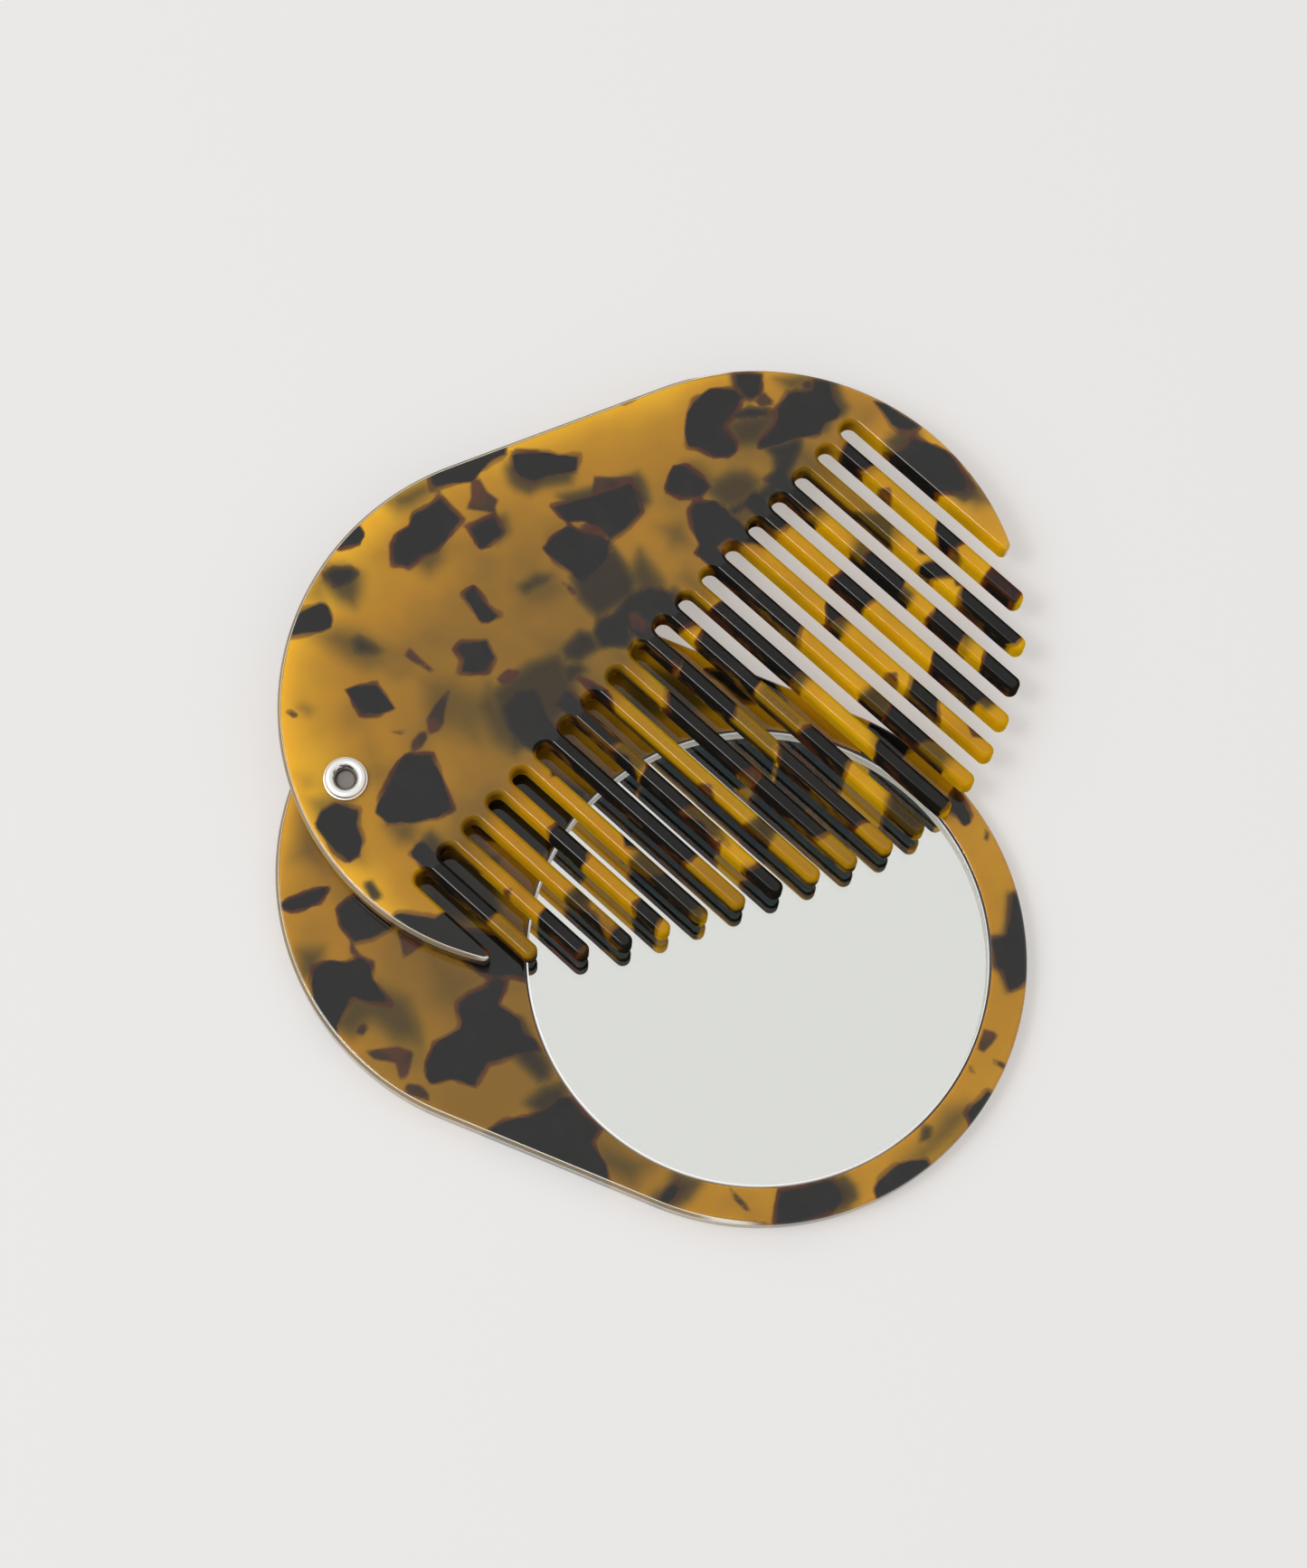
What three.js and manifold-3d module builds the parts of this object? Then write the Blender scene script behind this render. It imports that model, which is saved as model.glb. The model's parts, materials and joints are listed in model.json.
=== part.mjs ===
// Pocket comb that swings on one rivet over a round mirror.
// Two equal plates with round ends: the lower one carries the mirror, the upper one is the comb.
// Millimetres, +Z up. The origin is the centre of the mirror plate's underside, X its long axis.
import * as THREE from 'three';
import { mergeVertices } from 'three/addons/utils/BufferGeometryUtils.js';
import Module from 'manifold-3d';

// Mirror, its coat and its tape, from the top down
const mirrorRadius = 25;
const glassThickness = 1.9;
const glassArris = 0.25;
const coatThickness = 0.1;
const coatMargin = 0.3;
const tapeThickness = 0.3;
const tapeMargin = 2;
const glassRecess = 0.1;
const glassClearance = 0.15;

// The two plates
const rimWidth = 3.95;
const circleSpacing = 25;
const plateThickness = 3.5;
const edgeRounding = 0.6;
const plateGap = 0.5;
const openAngle = THREE.MathUtils.degToRad(44.1);

// Slots of the comb, square to a line that leans against the plate's long axis
const slotLineLean = THREE.MathUtils.degToRad(26);
const slotLineRise = 1.9;
const slotPitch = 3.82;
const slotWidth = 2.05;
const toothRoundingShare = 0.36;
const hornWidthLeast = 3;
const hornTipLand = 0.1;
const tipDrawIn = 1;
const drawnInTeeth = 10;

// Semi-tubular rivet with its washers
const pivotInset = 5.9;
const shankRadius = 1.5;
const headRadius = 2.6;
const headThickness = 0.7;
const headRecess = 0.2;
const headClearance = 0.2;
const rollWidth = 0.6;
const rollHeight = 0.6;
const boreRadius = 1.15;
const boreDepth = 1.2;
const clinchWasherRadius = 2.4;
const clinchWasherThickness = 0.3;
const spacerRadius = 4;
const pivotClearance = 0.1;
const tightClearance = 0.05;
const axialPlay = 0.1;

// Overrun of every cutting tool past the face that it opens
const cutOverrun = 1;

// Steps round the curves
const endArcSteps = 32;
const smallArcSteps = 6;
const edgeSteps = 2;
const mirrorSteps = 96;
const rivetSteps = 40;

// Worked out from the sizes above
const pocketRadius = mirrorRadius + glassClearance;
const plateRadius = pocketRadius + rimWidth;
const halfSpacing = circleSpacing / 2;
const pivotToPlateCentre = plateRadius - pivotInset + halfSpacing;
const pocketDepth = glassRecess + glassThickness + coatThickness + tapeThickness;
const pocketFloor = plateThickness - pocketDepth;
const combUnderside = plateThickness + plateGap;
const combTop = combUnderside + plateThickness;
const toothWidth = slotPitch - slotWidth;
const combRounding = Math.min(edgeRounding, toothWidth * toothRoundingShare);
const hornTipRadius = combRounding + hornTipLand;

const wasm = await Module();
wasm.setup();

// A closed geometry as a solid for cutting
function solidOf(geometry) {
  const bare = geometry.clone();
  bare.deleteAttribute('normal');
  bare.deleteAttribute('uv');
  const merged = mergeVertices(bare);
  const index = merged.index.array;
  const triangles = [];
  for (let i = 0; i < index.length; i += 3) {
    const [a, b, c] = [index[i], index[i + 1], index[i + 2]];
    if (a !== b && b !== c && c !== a) triangles.push(a, b, c);
  }
  return new wasm.Manifold(new wasm.Mesh({
    numProp: 3,
    vertProperties: Float32Array.from(merged.attributes.position.array),
    triVerts: Uint32Array.from(triangles),
  }));
}

// A cut solid back as a geometry
function geometryOf(solid) {
  const mesh = solid.getMesh();
  const geometry = new THREE.BufferGeometry();
  geometry.setAttribute('position', new THREE.BufferAttribute(mesh.vertProperties, 3));
  geometry.setIndex(new THREE.BufferAttribute(mesh.triVerts, 1));
  geometry.computeVertexNormals();
  return geometry;
}

// A body of revolution about Z, from a profile of [radius, height] pairs that starts and ends on the axis
function turned(profile, steps) {
  const points = profile.map(([radius, height]) => new THREE.Vector2(radius, height));
  return new THREE.LatheGeometry(points, steps).rotateX(Math.PI / 2);
}

// A plain disc or cutting tool between two heights
function disc(radius, bottom, top, steps) {
  return turned([[0, bottom], [radius, bottom], [radius, top], [0, top]], steps);
}

// A ring of rectangular section, closed on itself
function washer(inner, outer, bottom, top) {
  const profile = [[inner, bottom], [outer, bottom], [outer, top], [inner, top], [inner, bottom]];
  return turned(profile, rivetSteps);
}

// Points of an arc, both ends included
function arc(centreX, centreY, radius, from, to, steps) {
  const points = [];
  for (let i = 0; i <= steps; i += 1) {
    const angle = from + (to - from) * i / steps;
    points.push(new THREE.Vector2(centreX + radius * Math.cos(angle), centreY + radius * Math.sin(angle)));
  }
  return points;
}

// A sheet cut to an outline, its edges rounded inside the outline, lying on z = 0
function roundedSheet(outline, rounding) {
  const geometry = new THREE.ExtrudeGeometry(new THREE.Shape(outline), {
    depth: plateThickness - 2 * rounding,
    bevelEnabled: true,
    bevelThickness: rounding,
    bevelSize: rounding,
    bevelOffset: -rounding,
    bevelSegments: edgeSteps,
  });
  return geometry.translate(0, 0, rounding);
}

// Outline of a plate with round ends, about its own centre
function plateOutline() {
  const farEnd = arc(halfSpacing, 0, plateRadius, -Math.PI / 2, Math.PI / 2, endArcSteps);
  const nearEnd = arc(-halfSpacing, 0, plateRadius, Math.PI / 2, 3 * Math.PI / 2, endArcSteps);
  return [...farEnd, ...nearEnd];
}

function mirrorPlate() {
  const blank = solidOf(roundedSheet(plateOutline(), edgeRounding));
  const pocket = disc(pocketRadius, pocketFloor, plateThickness + cutOverrun, mirrorSteps)
    .translate(halfSpacing, 0, 0);
  const pivotHole = disc(shankRadius + tightClearance, -cutOverrun, plateThickness + cutOverrun, rivetSteps)
    .translate(-pivotToPlateCentre, 0, 0);
  const headSeat = disc(headRadius + headClearance, -cutOverrun, headRecess + headThickness, rivetSteps)
    .translate(-pivotToPlateCentre, 0, 0);
  return geometryOf(blank.subtract(solidOf(pocket)).subtract(solidOf(pivotHole)).subtract(solidOf(headSeat)));
}

// The comb is drawn about the plate's centre with the slots running down, along -Y
const plateCentre = new THREE.Vector2();
const nearCircle = new THREE.Vector2(-halfSpacing, 0).rotateAround(plateCentre, -slotLineLean);
const farCircle = nearCircle.clone().negate();

// Lower edge of the plate, drawn in by inset, at the abscissa x
function lowerEdge(x, inset) {
  const radius = plateRadius - inset;
  const along = (x - nearCircle.x + radius * Math.sin(slotLineLean)) / Math.cos(slotLineLean);
  if (along < 0) return nearCircle.y - Math.sqrt(radius ** 2 - (x - nearCircle.x) ** 2);
  if (along > circleSpacing) return farCircle.y - Math.sqrt(radius ** 2 - (x - farCircle.x) ** 2);
  return nearCircle.y - along * Math.sin(slotLineLean) - radius * Math.cos(slotLineLean);
}

// Slots to each side of the middle one, as many as leave a horn of the least width
const halfReach = plateRadius + halfSpacing * Math.cos(slotLineLean);
const slotsPerSide = Math.floor((halfReach - slotWidth / 2 - hornWidthLeast) / slotPitch);

function combOutline() {
  const wall = slotWidth / 2;
  const tip = toothWidth / 2;
  const outermost = slotsPerSide * slotPitch + wall;
  const leftHorn = new THREE.Vector2(-outermost - hornTipRadius, 0);
  leftHorn.y = lowerEdge(leftHorn.x, hornTipRadius);
  const rightHorn = new THREE.Vector2(outermost + hornTipRadius, 0);
  rightHorn.y = lowerEdge(rightHorn.x, hornTipRadius);
  const leftMeets = leftHorn.clone().sub(nearCircle).angle();
  const rightMeets = rightHorn.clone().sub(farCircle).angle() - 2 * Math.PI;
  const points = [];
  // round the left horn, the near end, the far end and the right horn, clockwise
  points.push(...arc(leftHorn.x, leftHorn.y, hornTipRadius, 2 * Math.PI, leftMeets, smallArcSteps));
  const nearTop = Math.PI / 2 - slotLineLean;
  points.push(...arc(nearCircle.x, nearCircle.y, plateRadius, leftMeets, nearTop, endArcSteps).slice(1));
  points.push(...arc(farCircle.x, farCircle.y, plateRadius, nearTop, rightMeets, endArcSteps));
  points.push(...arc(rightHorn.x, rightHorn.y, hornTipRadius, rightMeets, -Math.PI, smallArcSteps).slice(1));
  // in and out of the slots, from the right one to the left one
  for (let k = slotsPerSide; k >= -slotsPerSide; k -= 1) {
    const x = k * slotPitch;
    points.push(...arc(x, slotLineRise, wall, 0, Math.PI, smallArcSteps));
    if (k > -slotsPerSide) {
      const toothX = x - slotPitch / 2;
      const toothNumber = k + slotsPerSide - 1;
      const drawIn = tipDrawIn * Math.max(0, 1 - toothNumber / drawnInTeeth);
      const toothY = lowerEdge(toothX, tip + drawIn);
      points.push(...arc(toothX, toothY, tip, 0, -Math.PI, smallArcSteps));
    }
  }
  return points;
}

function combPlate() {
  const sheet = roundedSheet(combOutline(), combRounding).rotateZ(slotLineLean);
  const blank = solidOf(sheet.translate(pivotToPlateCentre, 0, combUnderside));
  const bottom = combUnderside - cutOverrun;
  const pivotHole = disc(shankRadius + pivotClearance, bottom, combTop + cutOverrun, rivetSteps);
  return geometryOf(blank.subtract(solidOf(pivotHole)));
}

// Glass disc with its ground arris at the top
function mirrorGlass() {
  const bottom = pocketFloor + tapeThickness + coatThickness;
  const top = bottom + glassThickness;
  return turned([
    [0, bottom], [mirrorRadius, bottom], [mirrorRadius, top - glassArris],
    [mirrorRadius - glassArris, top], [0, top],
  ], mirrorSteps);
}

function mirrorSilvering() {
  const bottom = pocketFloor + tapeThickness;
  return disc(mirrorRadius - coatMargin, bottom, bottom + coatThickness, mirrorSteps);
}

function adhesiveDisc() {
  return disc(mirrorRadius - tapeMargin, pocketFloor, pocketFloor + tapeThickness, mirrorSteps);
}

// Head sunk in the back, solid shank, and the hollow end rolled over the clinch washer
function pivotRivet() {
  const headTop = headRecess + headThickness;
  const rollBase = combTop + axialPlay + clinchWasherThickness;
  const rollTop = rollBase + rollHeight;
  const rollCentre = (boreRadius + shankRadius + rollWidth) / 2;
  const rollHalfWidth = rollCentre - boreRadius;
  const profile = [
    [0, headRecess], [headRadius, headRecess], [headRadius, headTop],
    [shankRadius, headTop], [shankRadius, rollBase],
  ];
  for (let i = 0; i <= smallArcSteps; i += 1) {
    const angle = Math.PI * i / smallArcSteps;
    profile.push([rollCentre + rollHalfWidth * Math.cos(angle), rollBase + rollHeight * Math.sin(angle)]);
  }
  profile.push([boreRadius, rollTop - boreDepth], [0, rollTop - boreDepth]);
  return turned(profile, rivetSteps);
}

function clinchWasher() {
  const bottom = combTop + axialPlay;
  return washer(shankRadius + tightClearance, clinchWasherRadius, bottom, bottom + clinchWasherThickness);
}

function spacerWasher() {
  return washer(shankRadius + pivotClearance, spacerRadius, plateThickness, combUnderside - axialPlay);
}

function piece(name, geometry, color, roughness, metalness) {
  const mesh = new THREE.Mesh(geometry, new THREE.MeshStandardMaterial({ color, roughness, metalness }));
  mesh.name = name;
  return mesh;
}

const tortoiseshell = 0x9a6a22;
const darkTortoiseshell = 0x8a5c1c;
const steel = 0xd8d5cf;

// On the mirror's axis
const mirrorStack = new THREE.Group();
mirrorStack.position.set(halfSpacing, 0, 0);
mirrorStack.add(
  piece('mirror_glass', mirrorGlass(), 0xdfe3e0, 0.02, 0),
  piece('mirror_silvering', mirrorSilvering(), 0xd9dad6, 0.05, 1),
  piece('adhesive_disc', adhesiveDisc(), 0xe8e6df, 0.8, 0),
);

// On the rivet's axis, with the comb swung open
const pivot = new THREE.Group();
pivot.position.set(-pivotToPlateCentre, 0, 0);
const comb = piece('comb_plate', combPlate(), tortoiseshell, 0.12, 0);
comb.rotation.z = openAngle;
pivot.add(
  comb,
  piece('pivot_rivet', pivotRivet(), steel, 0.25, 1),
  piece('clinch_washer', clinchWasher(), steel, 0.3, 1),
  piece('spacer_washer', spacerWasher(), 0xf2f0ea, 0.4, 0),
);

const mirrorComb = new THREE.Group();
mirrorComb.add(piece('mirror_plate', mirrorPlate(), darkTortoiseshell, 0.12, 0), mirrorStack, pivot);

export default mirrorComb;
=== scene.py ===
import json
import math
import random

import bmesh
import bpy
import numpy as np
from mathutils import Euler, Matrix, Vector
from mathutils.geometry import delaunay_2d_cdt
from mathutils.kdtree import KDTree


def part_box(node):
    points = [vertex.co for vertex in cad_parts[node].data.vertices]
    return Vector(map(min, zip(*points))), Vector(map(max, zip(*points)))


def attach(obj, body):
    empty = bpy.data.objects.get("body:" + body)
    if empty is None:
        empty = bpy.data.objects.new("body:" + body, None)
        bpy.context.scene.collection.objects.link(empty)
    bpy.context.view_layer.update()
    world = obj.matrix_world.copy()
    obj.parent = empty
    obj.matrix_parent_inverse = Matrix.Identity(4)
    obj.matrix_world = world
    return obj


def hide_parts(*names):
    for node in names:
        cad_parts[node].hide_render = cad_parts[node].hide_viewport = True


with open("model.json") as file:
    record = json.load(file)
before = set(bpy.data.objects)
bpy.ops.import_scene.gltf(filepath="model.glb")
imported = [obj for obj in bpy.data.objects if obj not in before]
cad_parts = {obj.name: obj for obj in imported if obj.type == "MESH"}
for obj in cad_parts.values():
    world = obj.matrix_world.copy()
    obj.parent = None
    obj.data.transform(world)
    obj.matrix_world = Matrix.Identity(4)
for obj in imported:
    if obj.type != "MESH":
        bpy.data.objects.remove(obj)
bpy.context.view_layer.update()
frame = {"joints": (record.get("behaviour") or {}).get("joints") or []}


# Mirror plate
# A stadium cut from 3.5 mm tortoiseshell acetate sheet, with a round pocket milled in its face for the mirror.
# The sheet is amber, with dark chips at every depth, and tumbling rounds its edges and polishes it.

mm = 0.001
_, plate_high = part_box("mirror_plate")
sheet_thickness = plate_high.z / mm
plate_radius = plate_high.y / mm
half_spacing = plate_high.x / mm - plate_radius
edge_rounding = 0.6
edge_rows = 8
wall_rows = 4
end_steps = 180
outline_spacing = 0.4
face_spacing = 0.5
face_margin = 0.25
pocket_radius = 25.15
pocket_depth = 2.4
pocket_edge = 0.12
pocket_floor_spacing = 3
eased_share = 0.3
pivot_inset = 5.9
plate_hole_radius = 1.55
head_seat_radius = 2.8
head_seat_depth = 0.9
pivot_x = -(plate_radius - pivot_inset + half_spacing)
pocket_steps = 360
hole_steps = 64


def arc(centre, radius, start, end, steps):
    """Points of an arc, both ends included."""
    turn = np.linspace(start, end, steps + 1)
    return np.stack([centre[0] + radius * np.cos(turn), centre[1] + radius * np.sin(turn)], 1)


def joined(arcs):
    """One closed outline from arcs, with points along the straight stretches between them."""
    points = []
    for here, after in zip(arcs, arcs[1:] + arcs[:1]):
        points.append(here)
        count = max(1, round(math.dist(here[-1], after[0]) / outline_spacing))
        share = np.arange(1, count)[:, None] / count
        points.append(here[-1] + (after[0] - here[-1]) * share)
    return np.concatenate(points)


def plate_outline(inset):
    """The plate's outline, drawn in by inset, about the plate's centre."""
    far = arc((half_spacing, 0), plate_radius - inset, -math.pi / 2, math.pi / 2, end_steps)
    near = arc((-half_spacing, 0), plate_radius - inset, math.pi / 2, 1.5 * math.pi, end_steps)
    return joined([far, near])


def is_inside(points, corners):
    """Whether each point lies inside a closed outline."""
    inside = np.zeros(len(points), bool)
    for (x0, y0), (x1, y1) in zip(corners, np.roll(corners, -1, 0)):
        if y0 != y1:
            level = (points[:, 1] >= y0) != (points[:, 1] >= y1)
            cut = x0 + (points[level, 1] - y0) * (x1 - x0) / (y1 - y0)
            inside[level] ^= points[level, 0] < cut
    return inside


def outside_distance(points, corners):
    """Distance of each point from a closed outline, negative inside it."""
    nearest = np.full(len(points), np.inf)
    for start, end in zip(corners, np.roll(corners, -1, 0)):
        side = end - start
        from_start = points - start
        along = np.clip(from_start @ side / max(side @ side, 1e-12), 0, 1)
        nearest = np.minimum(nearest, np.hypot(*(from_start - along[:, None] * side).T))
    return np.where(is_inside(points, corners), -nearest, nearest)


def edge_profile(rounding):
    """(inset, height) of each ring of points, from the underside's flat to the top's flat."""
    turn = np.linspace(0, math.pi / 2, edge_rows + 1)
    lower = [(rounding * (1 - math.sin(a)), rounding * (1 - math.cos(a))) for a in turn]
    wall = np.linspace(rounding, sheet_thickness - rounding, wall_rows + 1)[1:-1]
    upper = [(inset, sheet_thickness - height) for inset, height in reversed(lower)]
    return lower + [(0, height) for height in wall] + upper


class Shell:
    """A closed mesh that is put together from rings of points and flat faces."""

    def __init__(self):
        self.points = []
        self.faces = []

    def ring(self, outline, height):
        first = len(self.points)
        self.points.extend((x, y, height) for x, y in outline)
        return list(range(first, len(self.points)))

    def band(self, below, above):
        for i in range(len(below)):
            j = (i + 1) % len(below)
            self.faces.append((below[i], below[j], above[j], above[i]))

    def flat(self, rim, holes, spacing, up):
        """Closes a rim with small faces all over, around its holes."""
        rim_points = np.array([self.points[i][:2] for i in rim])
        hole_points = [np.array([self.points[i][:2] for i in hole]) for hole in holes]
        height = self.points[rim[0]][2]
        low, high = rim_points.min(0), rim_points.max(0)
        columns = np.arange(low[0], high[0], spacing)
        rows = np.arange(low[1], high[1], spacing * math.sqrt(3) / 2)
        grid = [(x + (n % 2) * spacing / 2, y) for n, y in enumerate(rows) for x in columns]
        grid = np.array(grid)
        grid = grid[is_inside(grid, rim_points)]
        for hole in hole_points:
            grid = grid[~is_inside(grid, hole)]
        edge_points = np.concatenate([rim_points] + hole_points)
        tree = KDTree(len(edge_points))
        for n, point in enumerate(edge_points):
            tree.insert((*point, 0), n)
        tree.balance()
        inner = self.ring([p for p in grid if tree.find((*p, 0))[2] > face_margin], height)
        ids = list(rim) + [i for hole in holes for i in hole] + inner
        edges = []
        first = 0
        for loop in [rim] + list(holes):
            edges += [(first + i, first + (i + 1) % len(loop)) for i in range(len(loop))]
            first += len(loop)
        flat_points = [Vector(self.points[i][:2]) for i in ids]
        _, _, triangles, origin, _, _ = delaunay_2d_cdt(flat_points, edges, [], 1, 1e-5)
        hole_ids = [set(hole) for hole in holes]
        for triangle in triangles:
            face = [ids[origin[i][0]] for i in triangle]
            if not any(hole.issuperset(face) for hole in hole_ids):
                self.faces.append(tuple(face) if up else tuple(reversed(face)))


shell = Shell()
profile = edge_profile(edge_rounding)
rings = [shell.ring(plate_outline(inset), height) for inset, height in profile]
for below, above in zip(rings, rings[1:]):
    shell.band(below, above)
pocket_centre = (half_spacing, 0)
hole_centre = (pivot_x, 0)
pocket_floor = sheet_thickness - pocket_depth
pocket_rings = [
    shell.ring(arc(pocket_centre, radius, 0, 2 * math.pi, pocket_steps)[:-1], height)
    for radius, height in (
        (pocket_radius + pocket_edge, sheet_thickness),
        (pocket_radius + pocket_edge * eased_share, sheet_thickness - pocket_edge * eased_share),
        (pocket_radius, sheet_thickness - pocket_edge),
        (pocket_radius, pocket_floor),
    )
]
hole_rings = [
    shell.ring(arc(hole_centre, radius, 0, 2 * math.pi, hole_steps)[:-1], height)
    for radius, height in (
        (plate_hole_radius, sheet_thickness),
        (plate_hole_radius, head_seat_depth),
        (head_seat_radius, head_seat_depth),
        (head_seat_radius, 0),
    )
]
for bored in (pocket_rings, hole_rings):
    for upper, lower in zip(bored, bored[1:]):
        shell.band(upper, lower)
shell.flat(rings[-1], [pocket_rings[0], hole_rings[0]], face_spacing, True)
shell.flat(rings[0], [hole_rings[-1]], face_spacing, False)
shell.flat(pocket_rings[-1], [], pocket_floor_spacing, True)

# Chips in the mirror plate, each outline in millimetres about the plate's centre.
# These reach the plate's face, and so are cut sharp there.
plate_chips = [
    [(-36.7, -13.7), (-34.8, -11.9), (-32.9, -10.6), (-33.5, -13), (-34.5, -14), (-35.9, -14.9), (-37.4, -15)],
    [(-31.4, -12.8), (-30.9, -11.4), (-30, -10.4), (-27.7, -10.4), (-25.2, -11.4), (-25.1, -12.5),
     (-26.5, -14.3), (-28.2, -15.5), (-30.4, -14.3)],
    [(-31.2, -19.6), (-30.1, -18.4), (-28.3, -17.7), (-27.1, -16.6), (-25.6, -16.9), (-24.8, -18.4),
     (-23, -19.3), (-21.8, -20.1), (-24, -20.8), (-26, -21), (-26.4, -24.4), (-25.2, -26.6), (-28.3, -25),
     (-29.8, -22.9), (-30.9, -21.1)],
    [(-22, -11.2), (-16, -9), (-11, -8.4), (-9.8, -10.5), (-9.4, -12), (-11.5, -12.4), (-12.8, -13.2),
     (-14.5, -13.3), (-17, -12.7), (-20, -12.8)],
    [(-15.4, -17.1), (-14.8, -15.9), (-13.4, -14.6), (-13, -13.2), (-11.6, -12.8), (-11.3, -13.9),
     (-11.3, -15.7), (-8.6, -16.2), (-7.5, -17.5), (-6.1, -17.7), (-5.1, -18.6), (-7.2, -19.8), (-8.6, -21.2),
     (-9.8, -22.1), (-10.1, -24.9), (-12.8, -25.1), (-14.5, -26.5), (-15.4, -25.9), (-16, -24.5), (-16, -22.1),
     (-14.2, -19.8), (-14.3, -19), (-15.1, -18)],
    [(-7.6, -29.4), (-5.7, -26.8), (-3.6, -25.6), (-2, -24), (-1.4, -22.6), (-0.3, -22), (1.6, -23), (4, -23.9),
     (3.7, -25.6), (6.1, -27.4), (7.4, -29.4)],
    [(12.5, -28.8), (12.9, -27.1), (13.6, -26.1), (14.4, -26.6), (14, -28.2), (13.2, -29.3)],
    [(24.1, -22.8), (25.8, -21.7), (27.2, -20.5), (28.7, -19.4), (30.1, -20), (30.9, -21), (30.2, -22.6),
     (28.1, -24.6), (26.4, -26), (25, -26.2), (24.4, -24.4)],
    [(33.3, -18.8), (33.4, -17.4), (34.6, -15.3), (35.8, -14.4), (37.4, -13.6), (38, -14), (36.9, -16),
     (35.8, -17.8), (34, -19.6)],
    [(40.6, -4.1), (41.5, -4.3), (41.3, -6.5), (40.4, -8.4), (39.4, -7.4), (39.6, -6.5), (40.2, -5.4)],
    [(25.3, 25.6), (26.6, 24.6), (28.1, 23.5), (28.3, 22.5), (27.8, 21.9), (26.6, 22.6), (25.2, 23)],
    [(35.3, 16.8), (36.2, 17.4), (38.2, 14.6), (39.6, 11.8), (40.5, 9), (39.8, 7.6), (39, 6.8), (37.5, 8.5),
     (36.6, 8.7), (36.1, 9.7), (35, 11.3), (36.4, 12.4), (36.1, 14.1)],
    [(-25, 8.6), (-18, 10.2), (-11.8, 9.4), (-10.6, 5.6), (-13.4, 1.4), (-20, 0.6), (-25.6, 4)],
    [(-33.6, 22.4), (-28, 18), (-26.6, 13), (-30.6, 14.4), (-35, 18.6)],
    [(-5, 27.4), (2, 29.6), (4.6, 27.4), (0.4, 25.6)],
    [(14, 29.6), (19.6, 28.4), (18.4, 25.6), (14.6, 25)],
]
# These are thin or pale enough for the amber behind them to show through as red-brown.
plate_red_chips = [
    [(-24.8, -12.2), (-23, -12.5), (-21, -12.6), (-21.8, -13.7), (-22.7, -15.1), (-23.3, -14)],
    [(-28.9, -15.2), (-27.2, -16.3), (-25.4, -16.4), (-24.8, -17.8), (-26.5, -17.4), (-28.3, -16.6)],
    [(-22.7, -25.8), (-21.2, -25), (-19.5, -24), (-17.6, -23.9), (-17.1, -26.6), (-17.9, -27.4), (-18.9, -25.8),
     (-21.4, -26.4)],
    [(-17.1, -27.3), (-15.6, -26.9), (-14.3, -27.5), (-14, -28.2), (-16.8, -28.4)],
    [(19, -24.4), (20.2, -24.9), (21.5, -25.4), (22.2, -26), (21.6, -26.2), (19.8, -25.4)],
    [(37.7, -2), (38.8, -2.9), (38.3, -3.1)],
    [(29.9, 22.5), (30.5, 22.5), (31, 21.4), (30.4, 21.2)],
    [(37.9, 1.9), (39.1, 2.1), (39.7, 1.8), (38.8, -0.6), (37.9, -0.4)],
    [(40, -0.8), (41.6, -0.6), (41.6, -1.4), (40.2, -1.2)],
    [(-23.9, -23), (-23.1, -23.4), (-23.4, -24.5), (-24.4, -24.4)],
]
# These lie deeper, with the depth of their upper side under the face, and so are blurred there.
plate_deep_chips = [
    (1.6, [(-27, -20.8), (-24.2, -18.6), (-20.6, -18.6), (-18.2, -20.8), (-17.4, -22.8), (-20, -23.6),
           (-23, -22.8), (-24.2, -25.2), (-27, -25)]),
    (0.8, [(-8.5, -16), (-6, -18), (-3.6, -19.6), (-3, -21), (-4, -21.8), (-6, -21), (-8.5, -20)]),
    (0.9, [(-4.6, -24.4), (-3.4, -22), (-1.6, -20.8), (0, -22.5), (-0.6, -26)]),
    (1.2, [(12.6, -28.6), (13, -25), (16.2, -25), (15.6, -27.4), (14.4, -29)]),
    (2.0, [(34.6, -15), (36.1, -11.8), (37, -7.6), (39, -6), (40.6, -7.4), (39.6, -10.4), (37.4, -14.6)]),
    (0.7, [(35.8, -10.5), (36.5, -10.2), (36.9, -11.3), (36.1, -12)]),
    (1.8, [(4, -25), (10.4, -25.4), (9.6, -28.4), (5, -28)]),
    (2.2, [(-39.6, -4), (-35.6, -6.6), (-34, -9.4), (-38, -9.6)]),
    (1.6, [(-33.6, -18.4), (-31, -17), (-30, -20), (-32, -21.6)]),
    (2.4, [(-20.4, -13.4), (-14, -13.6), (-14.6, -18.6), (-18, -18.4)]),
    (1.4, [(-14, 24), (-6, 26.6), (-2, 23.8), (-9.6, 19)]),
    (1.2, [(-39.6, 8.6), (-33, 11.6), (-31.4, 5.6), (-36.6, 5)]),
    (0.9, [(6, -8.6), (18.4, -3.2), (24, -12.4), (12, -17)]),
    (1.1, [(-6.4, 4), (3.6, 11.4), (12, 3.6), (2.4, -2.6)]),
    (0.6, [(18, 7.6), (27, 12.6), (33, 5), (23.6, 1.4)]),
    (1.3, [(6, 21.6), (16.8, 19.6), (13.4, 12.4), (4.6, 15.6)]),
    (0.8, [(-25.6, -3.6), (-17.6, -0.8), (-14.6, -7.6), (-22, -9.4)]),
]

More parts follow.
